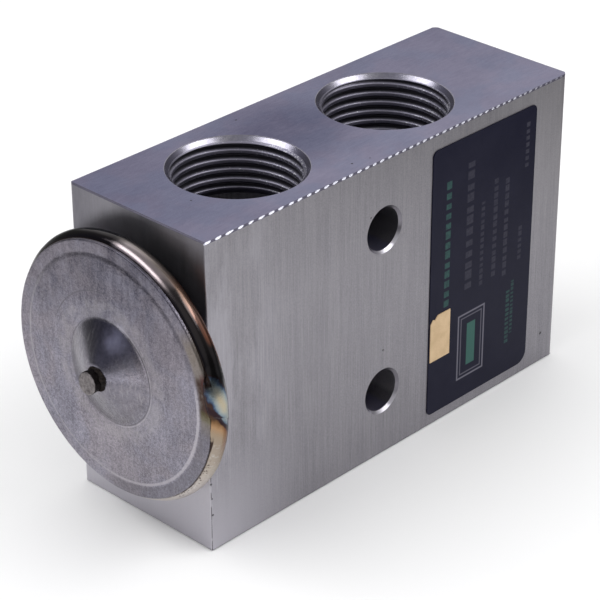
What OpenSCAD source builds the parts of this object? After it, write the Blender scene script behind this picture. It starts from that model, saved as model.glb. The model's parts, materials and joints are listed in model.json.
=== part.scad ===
// Block type thermostatic expansion valve, lying on its lower port face.
// X runs along the block with the power head at -X, the label faces -Y, the upper ports face +Z.
// The origin is the centre of the block's lower face. All sizes are in millimetres.

/* [Block] */
// Depth of the block, front face to back face
block_depth = 26.7; // [26:0.1:36]
// Height of the block, lower port face to upper port face
block_height = 48.5; // [47:0.5:64]
// Height of the valve axis above the lower port face
axis_height = 26.2; // [22:0.1:27]
// Radius on the two upright edges at the adjuster end
adjuster_end_radius = 1.6; // [0.5:0.1:3]
// Radius on the upright back edge at the head end
back_edge_radius = 0.8; // [0.3:0.1:1.4]
// Radius on the upright front edge at the head end
front_edge_radius = 0.3; // [0.2:0.1:1.4]
// Width of the deburred edge round the upper and lower faces
edge_break = 0.2; // [0.1:0.05:0.5]

/* [Ports] */
// Radius of the tapped ports at the thread root, for M20
port_radius = 10; // [8:0.1:10.4]
// Depth of the tapped part of the three large ports
port_depth = 12.5; // [9:0.5:13]
// Width of the countersink round the mouth of each port
port_countersink = 0.22; // [0.1:0.02:0.6]
// Distance from the head end to the axis of the suction ports
suction_offset = 19.26; // [19:0.02:22]
// Spacing from the suction port to the outlet port
port_spacing = 30.41; // [28:0.01:32]
// Radius of the suction passage between its two ports
suction_bore_radius = 7.5; // [6:0.1:7.8]
// Radius of the outlet passage above the seat
outlet_bore_radius = 3.6; // [3:0.1:4]
// Spacing from the outlet port to the inlet port below
inlet_spacing = 11.8; // [10:0.1:13]
// Radius of the tapped inlet port at the thread root, for M16
inlet_port_radius = 8; // [6:0.1:8.6]
// Depth of the tapped part of the inlet port
inlet_port_depth = 11; // [8:0.5:12]
// Radius of the inlet passage up to the ball chamber
inlet_bore_radius = 3.4; // [2.5:0.1:4]
// Rise of each port's cone shaped floor, for each millimetre in from its wall
port_floor_slope = 0.5; // [0.2:0.05:0.6]

/* [Mounting holes] */
// Radius of the two mounting holes, for M6 screws
mount_hole_radius = 3.3; // [2.5:0.1:3.4]
// Width of the countersink at both ends of a mounting hole
mount_hole_countersink = 0.4; // [0.2:0.05:0.6]
// Spacing of the two mounting holes
mount_hole_spacing = 26.6; // [26:0.1:30]
// Height of the lower mounting hole above the lower face
mount_hole_height = 10.8; // [8:0.1:11]
// Distance from the suction port axis to the mounting holes
mount_hole_offset = 15.84; // [15.2:0.02:16.2]

/* [Power head] */
// Radius of the two shells' rims
head_radius = 19.1; // [18:0.1:21]
// Stand-off of the outer face of the head's rim from the block
head_standoff = 5.35; // [5:0.05:6.5]
// Thickness of the welded rim, both shells and the diaphragm
rim_thickness = 3.2; // [3:0.05:3.6]
// Thickness of the outer shell
cover_thickness = 1.1; // [0.8:0.05:1.3]
// Radius of the raised middle of the outer shell
plateau_radius = 17.1; // [16.6:0.05:17.4]
// Height of the raised middle of the outer shell
plateau_rise = 0.5; // [0.4:0.05:0.8]
// Radius of the charging cone at its foot
cone_foot_radius = 7.85; // [6:0.05:9]
// Height of the charging cone
cone_height = 2.45; // [1.5:0.05:3]
// Slope of the cone's side, as the run in for each millimetre of rise
cone_run = 2.1; // [1.4:0.05:2.2]
// How far the weld bead stands out from the rim
bead_height = 0.95; // [0.4:0.05:1.2]
// Width of the weld bead across the rim
bead_width = 2.9; // [2:0.05:3]
// How far the bead starts behind the front of the rim
bead_setback = 0.45; // [0:0.05:0.6]
// Radius of the closed filling stub
stub_radius = 1.7; // [1.2:0.05:2]
// Length of the filling stub outside the cone
stub_length = 1.75; // [1:0.05:3]
// Tilt of the sheared end of the filling stub, in degrees
stub_shear = 9; // [0:1:12]
// Thickness of the diaphragm
diaphragm_thickness = 0.2; // [0.15:0.05:0.3]
// Height of the waves pressed in the diaphragm
diaphragm_wave = 0.26; // [0.1:0.02:0.3]
// Radius of the inner shell's seat on the block
collar_radius = 12.6; // [12.2:0.1:12.9]
// Radius of the inner shell's threaded neck
neck_radius = 9.95; // [9:0.05:10]
// Length of the threaded neck in the block
neck_length = 7; // [5:0.1:7.5]
// Radius of the hole through the neck
neck_bore_radius = 5; // [4.8:0.1:6]

/* [Moving parts] */
// Travel of the ball off its seat
valve_travel = 0.8; // [0.5:0.05:1]
// Radius of the pad that bears on the diaphragm
pad_radius = 10.8; // [8:0.1:11]
// Thickness of the pad's disc
pad_thickness = 1.2; // [1:0.1:1.4]
// Length of the pad's hub behind its disc
pad_hub_length = 2.6; // [2:0.1:3.5]
// Length of the sensing rod in the wall beyond the suction passage
rod_wall_length = 8.3; // [7:0.1:9]
// Radius of the sensing rod that crosses the suction passage
sensing_rod_radius = 3; // [2.2:0.05:3.2]
// Radius of the push rod that moves the ball
push_rod_radius = 1.2; // [0.9:0.05:1.3]
// Radius of the hole in the valve seat
orifice_radius = 1.8; // [1.6:0.05:1.9]
// Thickness of the wall that holds the seat
seat_wall = 1.6; // [1.4:0.1:2]
// Radius of the valve ball
ball_radius = 2.5; // [2.3:0.05:2.8]
// Thickness of the ball carrier's spring flange
carrier_flange = 1; // [0.8:0.1:1.3]
// Radius of the pilots inside the spring
spring_pilot_radius = 2.4; // [2:0.05:2.5]
// Radius of the ball chamber
chamber_radius = 6; // [5.8:0.05:6.2]

/* [Springs] */
// Radius of the superheat spring's wire
spring_wire_radius = 0.45; // [0.3:0.01:0.5]
// Radius of the superheat spring's coil, to the middle of the wire
spring_coil_radius = 3.7; // [3.5:0.05:3.9]
// Length of the superheat spring as it is set. The block grows with it
spring_length = 6.015; // [5.2:0.005:12]
// Number of open turns in the superheat spring
spring_open_turns = 2.5; // [2:0.25:3]
// Thickness of the damper spring's sheet
damper_thickness = 0.25; // [0.15:0.05:0.35]
// Number of fingers on the damper spring
damper_fingers = 4; // [3:1:6]
// Slope of each finger away from the valve axis, in degrees
damper_slope = 30; // [25:1:33]

/* [Adjuster] */
// Radius of the adjusting screw's thread
adjuster_radius = 6.95; // [6.6:0.05:7.2]
// Length of the adjusting screw's thread
adjuster_thread_length = 5; // [4:0.1:6]
// Length of the screw's smooth nose
adjuster_nose_length = 4.35; // [4:0.05:4.6]
// Recess of the screw's outer face below the end of the block
adjuster_recess = 1.2; // [1:0.05:1.6]
// Travel of the screw each way from its set place
adjuster_travel = 0.75; // [0.4:0.05:0.8]
// Width across the flats of the hexagon socket
socket_flats = 5; // [4:0.1:6]
// Depth of the hexagon socket
socket_depth = 3.2; // [2:0.1:4]

/* [Seals] */
// Thickness of the seal ring under the head
head_seal_section = 1.8; // [1.5:0.1:2]
// Thickness of the seal ring on the sensing rod
rod_seal_section = 1.8; // [1.5:0.1:2]
// Thickness of the seal ring on the adjusting screw
adjuster_seal_section = 1.32; // [1.1:0.02:1.4]
// Depth of the rod seal's bore in the wall beyond the suction passage
seal_bore_depth = 3.9; // [3.4:0.1:4.5]
// Thickness of the clip that holds the rod seal
clip_thickness = 0.6; // [0.4:0.05:0.8]
// Number of notches in the clip's inner edge
clip_notches = 6; // [4:1:8]

/* [Label] */
// Length of the label along the block
label_length = 23.4; // [16:0.1:26]
// Height of the label
label_height = 44.1; // [30:0.1:44.5]
// Thickness of the label
label_thickness = 0.15; // [0.1:0.01:0.3]
// Radius of the label's corners
label_corner = 1.5; // [0.5:0.1:3]
// Distance from the label to the adjuster end
label_end_margin = 7.6; // [6:0.1:9]
// Distance from the label to the lower face
label_foot_margin = 1.9; // [1:0.1:2.2]
// Length of the small tag along the block
tag_length = 4.4; // [3:0.1:6]
// Height of the small tag
tag_height = 7.6; // [5:0.1:10]
// Thickness of the small tag
tag_thickness = 0.12; // [0.08:0.01:0.2]
// Distance from the label's near edge to the tag
tag_side_margin = 0.2; // [0.1:0.05:2]
// Distance from the label's lower edge to the tag
tag_foot_margin = 9.3; // [5:0.1:12]
// Size of the torn notch in the tag's upper corner
tag_tear = 1.1; // [0.4:0.1:1.6]

/* [Clearances] */
// Radial clearance of parts that slide or turn in a bore
running_clearance = 0.05; // [0.03:0.01:0.1]
// Clearance round the seal rings
seal_clearance = 0.04; // [0.02:0.01:0.08]
// Clearance between the ball and its seat or carrier
ball_clearance = 0.03; // [0.02:0.01:0.05]
// Space left beyond the end of a travel
travel_space = 0.3; // [0.2:0.05:0.5]

/* [Hidden] */

$fn = 96;
over = 1; // how far a cutting shape runs past the face that it opens

// The block is as long as what lies along the valve axis: the passages, the ball, the spring and the screw
ball_reach = sqrt(pow(ball_radius, 2) - pow(orifice_radius, 2));
carrier_lip = 0.5;
head_to_seat = suction_offset + port_spacing + outlet_bore_radius + seat_wall;
seat_to_ball = ball_reach + ball_clearance;
ball_to_spring = ball_radius - carrier_lip + carrier_flange;
screw_length = adjuster_nose_length + adjuster_thread_length;
block_length = head_to_seat + seat_to_ball + ball_to_spring + spring_length + screw_length + adjuster_recess;
head_end = -block_length / 2;
adjuster_end = block_length / 2;
front_face = -block_depth / 2;

// Places of the passages along the block
suction_x = head_end + suction_offset;
outlet_x = suction_x + port_spacing;
inlet_x = outlet_x + inlet_spacing;
mount_hole_x = suction_x + mount_hole_offset;
suction_wall_x = suction_x + suction_bore_radius;
seat_x = head_end + head_to_seat;

// Power head, from the rim's outer face towards the block
rim_front_x = head_end - head_standoff;
rim_back_x = rim_front_x + rim_thickness;
cover_inner_x = rim_front_x + cover_thickness;
base_inner_x = cover_inner_x + diaphragm_thickness;
pad_floor_x = base_inner_x + pad_thickness + valve_travel + travel_space;
pad_pocket_radius = pad_radius + 0.5;
pad_hub_radius = neck_bore_radius - 0.6;
pocket_lip = 0.6;
dish_radius = collar_radius + 3.9;
collar_land = 0.8;
backing_radius = pad_pocket_radius + 3.7;
cone_top_radius = cone_foot_radius - cone_height * cone_run;
stub_tip = plateau_rise + cone_height + stub_length;
head_seal_radius = neck_radius + head_seal_section / 2 + seal_clearance;
head_bore_radius = neck_radius + running_clearance;
head_bore_depth = neck_length + over;

// Sensing rod, its seal and the push rod
rod_tip_x = suction_wall_x + rod_wall_length;
rod_start_x = base_inner_x + pad_thickness / 2;
rod_socket_depth = 2;
rod_guide_radius = sensing_rod_radius + running_clearance;
rod_gap_radius = sensing_rod_radius + 1.5; // lets vapour past the rod, up to the diaphragm
rod_seal_radius = sensing_rod_radius + rod_seal_section / 2 + seal_clearance;
seal_bore_radius = rod_seal_radius + rod_seal_section / 2 + seal_clearance;
seal_bore_floor = suction_wall_x + seal_bore_depth;
rod_seal_x = seal_bore_floor - rod_seal_section / 2 - seal_clearance;
clip_x = rod_seal_x - rod_seal_section / 2 - seal_clearance - clip_thickness;
pin_guide_radius = push_rod_radius + running_clearance;

// Ball, carrier and spring
ball_x = seat_x + seat_to_ball;
ball_socket_radius = ball_radius + ball_clearance;
carrier_boss_radius = ball_radius + 0.7;
carrier_back_x = ball_x + ball_to_spring;
carrier_front_x = carrier_back_x - carrier_flange;
carrier_flange_radius = spring_coil_radius + spring_wire_radius + 0.4;
carrier_pilot_length = 2;
finger_width = 1.5;
finger_root = 0.9;
finger_reach = chamber_radius - running_clearance * 3 - carrier_boss_radius - finger_root;
finger_length = (finger_reach + damper_thickness * (1 - cos(damper_slope))) / sin(damper_slope);

// Adjusting screw, from the end of the block inwards
screw_face_x = adjuster_end - adjuster_recess;
screw_shoulder_x = screw_face_x - adjuster_thread_length;
screw_nose_x = screw_shoulder_x - adjuster_nose_length;
screw_pilot_length = 1.5;
thread_bore_floor = screw_shoulder_x - adjuster_travel - travel_space;
thread_bore_radius = adjuster_radius + running_clearance;
thread_bore_countersink = 0.4;
nose_radius = chamber_radius - running_clearance;
groove_width = adjuster_seal_section + 2 * seal_clearance;
groove_start = 0.6;
groove_radius = nose_radius - adjuster_seal_section;
adjuster_seal_radius = groove_radius + adjuster_seal_section / 2 + seal_clearance / 4;
adjuster_seal_tube = adjuster_seal_section / 2 - seal_clearance / 4;
screw_edge = 0.4;

// Colours
aluminium = [0.70, 0.70, 0.72];
stainless = [0.62, 0.61, 0.61];
bright_steel = [0.76, 0.76, 0.78];
weld_tint = [0.62, 0.45, 0.34];
brass = [0.72, 0.60, 0.33];
seal_rubber = [0.07, 0.08, 0.07];
label_black = [0.06, 0.06, 0.08];
tag_cream = [0.86, 0.75, 0.50];

// Puts a shape made along +Z on the valve axis, pointing to the adjuster end, from the place x
module towards_adjuster(x) {
  translate([x, 0, axis_height]) rotate([0, 90, 0]) children();
}

// The same, but pointing out of the head end
module towards_head(x) {
  translate([x, 0, axis_height]) rotate([0, -90, 0]) children();
}

// A ring of round section, centred on the valve axis
module seal_ring(x, ring_radius, tube_radius) {
  towards_adjuster(x) rotate_extrude() translate([ring_radius, 0]) circle(r = tube_radius, $fn = 32);
}

// A hole with a countersunk mouth: the mouth is at z = 0 and the hole runs down
module countersunk_hole(hole_radius, depth, countersink) {
  translate([0, 0, -depth]) cylinder(r = hole_radius, h = depth + over);
  translate([0, 0, -countersink])
    cylinder(r1 = hole_radius, r2 = hole_radius + countersink + over, h = countersink + over);
}

// A tapped port, with its mouth at z = 0 and a cone shaped floor down to the passage below
module port_cut(radius, depth, passage_radius) {
  floor_height = (radius - passage_radius) * port_floor_slope;
  countersunk_hole(radius, depth, port_countersink);
  translate([0, 0, -depth - floor_height])
    cylinder(r1 = passage_radius, r2 = radius, h = floor_height);
}

module block_outline() {
  back_face = block_depth / 2;
  corners = [ // centre of each corner's arc, and its radius
    [head_end + front_edge_radius, front_face + front_edge_radius, front_edge_radius],
    [adjuster_end - adjuster_end_radius, front_face + adjuster_end_radius, adjuster_end_radius],
    [adjuster_end - adjuster_end_radius, back_face - adjuster_end_radius, adjuster_end_radius],
    [head_end + back_edge_radius, back_face - back_edge_radius, back_edge_radius]
  ];
  for (c = corners) translate([c[0], c[1]]) circle(r = c[2]);
  polygon([
    [head_end, corners[0][1]], [corners[0][0], front_face],
    [corners[1][0], front_face], [adjuster_end, corners[1][1]],
    [adjuster_end, corners[2][1]], [corners[2][0], back_face],
    [corners[3][0], back_face], [head_end, corners[3][1]]
  ]);
}

// Bars that take the sharp edge off the upper and lower faces
module edge_break_cut() {
  side = edge_break * sqrt(2);
  for (z = [0, block_height]) {
    for (y = [front_face, -front_face])
      translate([0, y, z]) rotate([45, 0, 0]) cube([block_length + 2 * over, side, side], center = true);
    for (x = [head_end, adjuster_end])
      translate([x, 0, z]) rotate([0, 45, 0]) cube([side, block_depth + 2 * over, side], center = true);
  }
}

// Bores along the valve axis, from the head end to the adjuster end
module axis_bores() {
  towards_adjuster(head_end - over) cylinder(r = head_bore_radius, h = head_bore_depth + over);
  towards_adjuster(head_end - over)
    cylinder(r = head_seal_radius + head_seal_section / 2 + seal_clearance,
      h = head_seal_section + 2 * seal_clearance + over);
  towards_adjuster(head_end + head_bore_depth - over)
    cylinder(r = rod_gap_radius, h = suction_x - head_end - head_bore_depth + over);
  towards_adjuster(suction_x) cylinder(r = seal_bore_radius, h = seal_bore_floor - suction_x);
  towards_adjuster(suction_x)
    cylinder(r = rod_guide_radius, h = rod_tip_x + valve_travel + travel_space - suction_x);
  towards_adjuster(rod_tip_x) cylinder(r = pin_guide_radius, h = outlet_x - rod_tip_x);
  towards_adjuster(outlet_x) cylinder(r = orifice_radius, h = seat_x - outlet_x + over);
  towards_adjuster(seat_x) cylinder(r = chamber_radius, h = thread_bore_floor - seat_x + over);
  towards_adjuster(thread_bore_floor)
    cylinder(r = thread_bore_radius, h = adjuster_end - thread_bore_floor + over);
  towards_adjuster(adjuster_end - thread_bore_countersink)
    cylinder(r1 = thread_bore_radius, r2 = thread_bore_radius + thread_bore_countersink + over,
      h = thread_bore_countersink + over);
}

module valve_block() {
  outlet_floor = axis_height - push_rod_radius - 1;
  color(aluminium) difference() {
    linear_extrude(block_height) block_outline();
    edge_break_cut();
    for (x = [suction_x, outlet_x]) translate([x, 0, block_height])
      port_cut(port_radius, port_depth, x == suction_x ? suction_bore_radius : outlet_bore_radius);
    translate([suction_x, 0, 0]) mirror([0, 0, 1]) port_cut(port_radius, port_depth, suction_bore_radius);
    translate([inlet_x, 0, 0]) mirror([0, 0, 1])
      port_cut(inlet_port_radius, inlet_port_depth, inlet_bore_radius);
    translate([suction_x, 0, port_depth])
      cylinder(r = suction_bore_radius, h = block_height - 2 * port_depth);
    translate([outlet_x, 0, outlet_floor])
      cylinder(r = outlet_bore_radius, h = block_height - port_depth - outlet_floor);
    translate([inlet_x, 0, inlet_port_depth]) cylinder(r = inlet_bore_radius, h = axis_height - inlet_port_depth);
    axis_bores();
    for (z = [mount_hole_height, mount_hole_height + mount_hole_spacing])
      for (side = [-1, 1]) translate([mount_hole_x, side * block_depth / 2, z])
        rotate([-side * 90, 0, 0])
          countersunk_hole(mount_hole_radius, block_depth / 2 + over, mount_hole_countersink);
  }
}

// The outer shell's outline, from the rim inwards, shifted by a thickness along the axis
function cover_outline(shift, rim_end, hole) = [
  [rim_end, -shift],
  [plateau_radius, -shift],
  [plateau_radius - plateau_rise * 1.2, plateau_rise - shift],
  [cone_foot_radius + 0.5, plateau_rise - shift],
  [cone_foot_radius + 0.1, plateau_rise + 0.06 - shift],
  [cone_foot_radius - 0.4, plateau_rise + 0.3 - shift],
  [cone_top_radius + 0.5, plateau_rise + cone_height - 0.3 - shift],
  [max(cone_top_radius, hole + 0.1), plateau_rise + cone_height - shift],
  [hole, plateau_rise + cone_height - shift]
];

module head_cover() {
  hole = stub_radius + seal_clearance;
  outer = cover_outline(0, head_radius, hole);
  inner = cover_outline(cover_thickness, head_radius, hole);
  color(stainless) towards_head(rim_front_x) rotate_extrude()
    polygon(concat(outer, [for (i = [len(inner) - 1:-1:0]) inner[i]]));
}

module head_base() {
  color(stainless) towards_adjuster(0) rotate_extrude() polygon([
    [head_radius, base_inner_x],
    [head_radius, rim_back_x],
    [dish_radius, rim_back_x],
    [collar_radius, head_end - collar_land],
    [collar_radius, head_end],
    [neck_radius, head_end],
    [neck_radius, head_end + neck_length],
    [neck_bore_radius, head_end + neck_length],
    [neck_bore_radius, pad_floor_x],
    [pad_pocket_radius, pad_floor_x],
    [pad_pocket_radius, base_inner_x + pocket_lip],
    [backing_radius, base_inner_x]
  ]);
}

// The bead that joins the shells and the diaphragm round the rim
module rim_weld() {
  half = bead_width / 2;
  arc_radius = (pow(half, 2) + pow(bead_height, 2)) / (2 * bead_height);
  color(weld_tint) towards_adjuster(rim_front_x + bead_setback + half) rotate_extrude()
    intersection() {
      translate([head_radius + bead_height - arc_radius, 0]) circle(r = arc_radius, $fn = 64);
      translate([head_radius, -half]) square([bead_height + over, bead_width]);
    }
}

module charge_stub() {
  inner_end = plateau_rise + cone_height - cover_thickness - 0.4;
  color(stainless) towards_head(rim_front_x) difference() {
    translate([0, 0, inner_end]) cylinder(r = stub_radius, h = stub_tip - inner_end + over, $fn = 48);
    translate([0, 0, stub_tip - stub_radius * tan(stub_shear)]) rotate([0, stub_shear, 0])
      translate([-stub_radius * 2, -stub_radius * 2, 0]) cube([stub_radius * 4, stub_radius * 4, 4 * over]);
  }
}

module head_seal() {
  color(seal_rubber)
    seal_ring(head_end + head_seal_section / 2 + seal_clearance, head_seal_radius, head_seal_section / 2);
}

// Height of the waves in the diaphragm at a radius: flat in the middle and at the clamped rim
wave_start = pad_pocket_radius + 0.1;
wave_end = plateau_radius - plateau_rise * 1.2 - 0.7;
wave_count = 3;
wave_steps = 8;
function wave_height(r) = r <= wave_start || r >= wave_end ? 0
  : -diaphragm_wave / 2 * (1 - cos(360 * wave_count * (r - wave_start) / (wave_end - wave_start)));

module diaphragm() {
  steps = wave_count * wave_steps;
  radii = concat([0], [for (i = [0:steps]) wave_start + (wave_end - wave_start) * i / steps], [head_radius]);
  near_side = [for (r = radii) [r, wave_height(r)]];
  far_side = [for (i = [len(radii) - 1:-1:0]) [radii[i], wave_height(radii[i]) + diaphragm_thickness]];
  color(bright_steel) towards_adjuster(cover_inner_x) rotate_extrude() polygon(concat(near_side, far_side));
}

module diaphragm_pad() {
  socket = rod_start_x - base_inner_x;
  edge = 0.3;
  color(brass) towards_adjuster(base_inner_x) difference() {
    rotate_extrude() polygon([
      [0, 0], [pad_radius - edge, 0], [pad_radius, edge], [pad_radius, pad_thickness],
      [pad_hub_radius, pad_thickness], [pad_hub_radius, pad_thickness + pad_hub_length],
      [0, pad_thickness + pad_hub_length]
    ]);
    translate([0, 0, socket]) cylinder(r = sensing_rod_radius + seal_clearance, h = pad_hub_length + over);
  }
}

module sensing_rod() {
  edge = 0.25;
  length = rod_tip_x - rod_start_x;
  color(bright_steel) towards_adjuster(rod_start_x) difference() {
    union() {
      cylinder(r = sensing_rod_radius, h = length - edge);
      translate([0, 0, length - edge]) cylinder(r1 = sensing_rod_radius, r2 = sensing_rod_radius - edge, h = edge);
    }
    translate([0, 0, length - rod_socket_depth])
      cylinder(r = push_rod_radius + seal_clearance, h = rod_socket_depth + over);
  }
}

module rod_seal() {
  color(seal_rubber) seal_ring(rod_seal_x, rod_seal_radius, rod_seal_section / 2);
}

// A push-in ring that keeps the rod seal in its bore
module seal_clip() {
  inner_radius = sensing_rod_radius + 0.35;
  notch = 0.5;
  color(bright_steel) towards_adjuster(clip_x) difference() {
    cylinder(r = seal_bore_radius - seal_clearance, h = clip_thickness);
    translate([0, 0, -over]) cylinder(r = inner_radius, h = clip_thickness + 2 * over);
    for (i = [0:clip_notches - 1]) rotate([0, 0, i * 360 / clip_notches])
      translate([inner_radius, 0, -over]) cylinder(r = notch, h = clip_thickness + 2 * over, $fn = 24);
  }
}

module push_rod() {
  start = rod_tip_x - rod_socket_depth;
  color(bright_steel) towards_adjuster(start)
    cylinder(r = push_rod_radius, h = ball_x - ball_radius - ball_clearance - start, $fn = 48);
}

module valve_ball() {
  color(bright_steel) translate([ball_x, 0, axis_height]) sphere(r = ball_radius);
}

module ball_carrier() {
  boss_length = ball_radius - carrier_lip - 0.5;
  color(brass) towards_adjuster(ball_x) difference() {
    union() {
      translate([0, 0, carrier_front_x - ball_x - boss_length])
        cylinder(r = carrier_boss_radius, h = boss_length + over / 2);
      translate([0, 0, carrier_front_x - ball_x]) cylinder(r = carrier_flange_radius, h = carrier_flange);
      translate([0, 0, carrier_back_x - ball_x])
        cylinder(r = spring_pilot_radius, h = carrier_pilot_length);
    }
    sphere(r = ball_socket_radius);
  }
}

// A sprung washer whose fingers rub on the chamber wall, so that the ball cannot rattle
module damper_spring() {
  color(bright_steel) towards_head(carrier_front_x) {
    difference() {
      cylinder(r = carrier_boss_radius + finger_root, h = damper_thickness);
      translate([0, 0, -over]) cylinder(r = carrier_boss_radius + seal_clearance, h = damper_thickness + 2 * over);
    }
    for (i = [0:damper_fingers - 1]) rotate([0, 0, 45 + i * 360 / damper_fingers])
      translate([carrier_boss_radius + finger_root - damper_thickness, 0, damper_thickness * sin(damper_slope)])
        rotate([0, damper_slope, 0])
          translate([0, -finger_width / 2, 0]) cube([damper_thickness, finger_width, finger_length]);
  }
}

// The superheat spring: closed turns at each end and open turns between them
spring_closed_turns = 0.75;
spring_start = carrier_back_x + spring_wire_radius + ball_clearance;
spring_end = screw_nose_x - spring_wire_radius - ball_clearance;
spring_turns = spring_open_turns + 2 * spring_closed_turns;
closed_pitch = 2.1 * spring_wire_radius;
open_pitch = (spring_end - spring_start - 2 * spring_closed_turns * closed_pitch) / spring_open_turns;
spring_steps = 20;
wire_sides = 10;
function spring_rise(t) = t < spring_closed_turns ? t * closed_pitch
  : t < spring_closed_turns + spring_open_turns
    ? spring_closed_turns * closed_pitch + (t - spring_closed_turns) * open_pitch
    : spring_end - spring_start - (spring_turns - t) * closed_pitch;
function wire_ring(t) = [for (j = [0:wire_sides - 1])
  let (a = 360 * j / wire_sides, r = spring_coil_radius + spring_wire_radius * cos(a))
  [r * cos(360 * t), r * sin(360 * t), spring_rise(t) + spring_wire_radius * sin(a)]];

module superheat_spring() {
  rings = round(spring_turns * spring_steps);
  points = [for (i = [0:rings]) each wire_ring(spring_turns * i / rings)];
  sides = [for (i = [0:rings - 1], j = [0:wire_sides - 1]) let (k = (j + 1) % wire_sides)
    [i * wire_sides + j, (i + 1) * wire_sides + j, (i + 1) * wire_sides + k, i * wire_sides + k]];
  first_end = [for (j = [0:wire_sides - 1]) j];
  last_end = [for (j = [wire_sides - 1:-1:0]) rings * wire_sides + j];
  color(bright_steel) towards_adjuster(spring_start)
    polyhedron(points = points, faces = concat(sides, [first_end, last_end]));
}

module adjusting_screw() {
  color(brass) towards_adjuster(0) difference() {
    rotate_extrude() polygon([
      [0, screw_nose_x - screw_pilot_length],
      [spring_pilot_radius, screw_nose_x - screw_pilot_length],
      [spring_pilot_radius, screw_nose_x],
      [nose_radius, screw_nose_x],
      [nose_radius, screw_nose_x + groove_start],
      [groove_radius, screw_nose_x + groove_start],
      [groove_radius, screw_nose_x + groove_start + groove_width],
      [nose_radius, screw_nose_x + groove_start + groove_width],
      [nose_radius, screw_shoulder_x],
      [adjuster_radius - screw_edge, screw_shoulder_x],
      [adjuster_radius, screw_shoulder_x + screw_edge],
      [adjuster_radius, screw_face_x - screw_edge],
      [adjuster_radius - screw_edge, screw_face_x],
      [0, screw_face_x]
    ]);
    translate([0, 0, screw_face_x - socket_depth])
      cylinder(d = socket_flats / cos(30), h = socket_depth + over, $fn = 6);
  }
}

module adjuster_seal() {
  color(seal_rubber)
    seal_ring(screw_nose_x + groove_start + groove_width / 2, adjuster_seal_radius, adjuster_seal_tube);
}

// A rectangle with rounded corners, its lower corner at the origin
module rounded_plate(width, height, corner) {
  translate([corner, 0]) square([width - 2 * corner, height]);
  translate([0, corner]) square([width, height - 2 * corner]);
  for (x = [corner, width - corner], y = [corner, height - corner])
    translate([x, y]) circle(r = corner, $fn = 48);
}

label_x = adjuster_end - label_end_margin - label_length;

module label() {
  color(label_black) translate([label_x, front_face, label_foot_margin]) rotate([90, 0, 0])
    linear_extrude(label_thickness) rounded_plate(label_length, label_height, label_corner);
}

module label_tag() {
  color(tag_cream)
    translate([label_x + tag_side_margin, front_face - label_thickness, label_foot_margin + tag_foot_margin])
      rotate([90, 0, 0]) linear_extrude(tag_thickness) polygon([
        [0, 0], [tag_length, 0], [tag_length, tag_height],
        [tag_tear * 1.5, tag_height], [tag_tear * 0.9, tag_height - tag_tear * 0.55],
        [tag_tear * 0.5, tag_height - tag_tear * 0.4], [0, tag_height - tag_tear]
      ]);
}

valve_block();
head_cover();
head_base();
rim_weld();
charge_stub();
head_seal();
diaphragm();
diaphragm_pad();
sensing_rod();
rod_seal();
seal_clip();
push_rod();
valve_ball();
ball_carrier();
damper_spring();
superheat_spring();
adjusting_screw();
adjuster_seal();
label();
label_tag();
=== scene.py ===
import json
import math

import bmesh
import bpy
from mathutils import Matrix, Vector, noise


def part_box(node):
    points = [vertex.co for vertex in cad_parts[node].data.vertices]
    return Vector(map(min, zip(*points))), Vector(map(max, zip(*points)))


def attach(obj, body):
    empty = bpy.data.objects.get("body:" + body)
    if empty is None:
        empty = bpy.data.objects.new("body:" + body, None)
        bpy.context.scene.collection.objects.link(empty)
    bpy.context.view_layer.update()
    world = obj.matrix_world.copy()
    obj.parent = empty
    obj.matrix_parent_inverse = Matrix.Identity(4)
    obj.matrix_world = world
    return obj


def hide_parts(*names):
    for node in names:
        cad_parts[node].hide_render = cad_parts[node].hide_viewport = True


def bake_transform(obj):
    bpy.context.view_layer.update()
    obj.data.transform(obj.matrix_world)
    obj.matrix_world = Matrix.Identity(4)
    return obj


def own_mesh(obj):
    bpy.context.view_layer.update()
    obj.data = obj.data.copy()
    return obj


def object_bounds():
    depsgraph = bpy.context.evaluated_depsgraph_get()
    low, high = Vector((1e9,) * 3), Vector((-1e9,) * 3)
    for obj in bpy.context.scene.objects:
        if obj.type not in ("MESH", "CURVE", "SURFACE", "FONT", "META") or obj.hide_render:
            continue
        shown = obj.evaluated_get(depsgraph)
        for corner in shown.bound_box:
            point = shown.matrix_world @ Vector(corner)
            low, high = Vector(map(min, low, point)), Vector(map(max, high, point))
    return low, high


# Expansion valve on a pale table. X runs along the block from the power head, -Y is the label's side.
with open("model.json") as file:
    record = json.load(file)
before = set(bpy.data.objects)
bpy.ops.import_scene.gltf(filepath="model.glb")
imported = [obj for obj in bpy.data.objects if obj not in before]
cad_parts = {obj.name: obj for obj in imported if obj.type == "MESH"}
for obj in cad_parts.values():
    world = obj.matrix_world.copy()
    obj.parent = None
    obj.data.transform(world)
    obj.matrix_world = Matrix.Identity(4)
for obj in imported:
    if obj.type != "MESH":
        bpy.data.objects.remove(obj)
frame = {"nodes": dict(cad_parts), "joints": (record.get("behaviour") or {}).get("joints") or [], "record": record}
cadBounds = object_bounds()
cadNodes = frame["nodes"]
mounts = {mount["name"]: mount for mount in frame["record"]["mounts"]}
mm = 0.001
blockLow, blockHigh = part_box("valve_block")
seatLow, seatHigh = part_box("valve_ball")
axisHeight = (seatLow.z + seatHigh.z) / 2  # height of the valve axis, where the ball sits
print("frame loaded:", len(cadNodes), "nodes")


# Camera, where the photographer stood
cameraPlace = {
    "place": (-0.228782, -0.213663, 0.193206),
    "azimuth": -46.1394,  # degrees, 0 looks along +Y
    "elevation": 28.98884,
    "roll": -0.15155,
    "lens": 144.0737,
    "sensor": 36,
}


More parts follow.
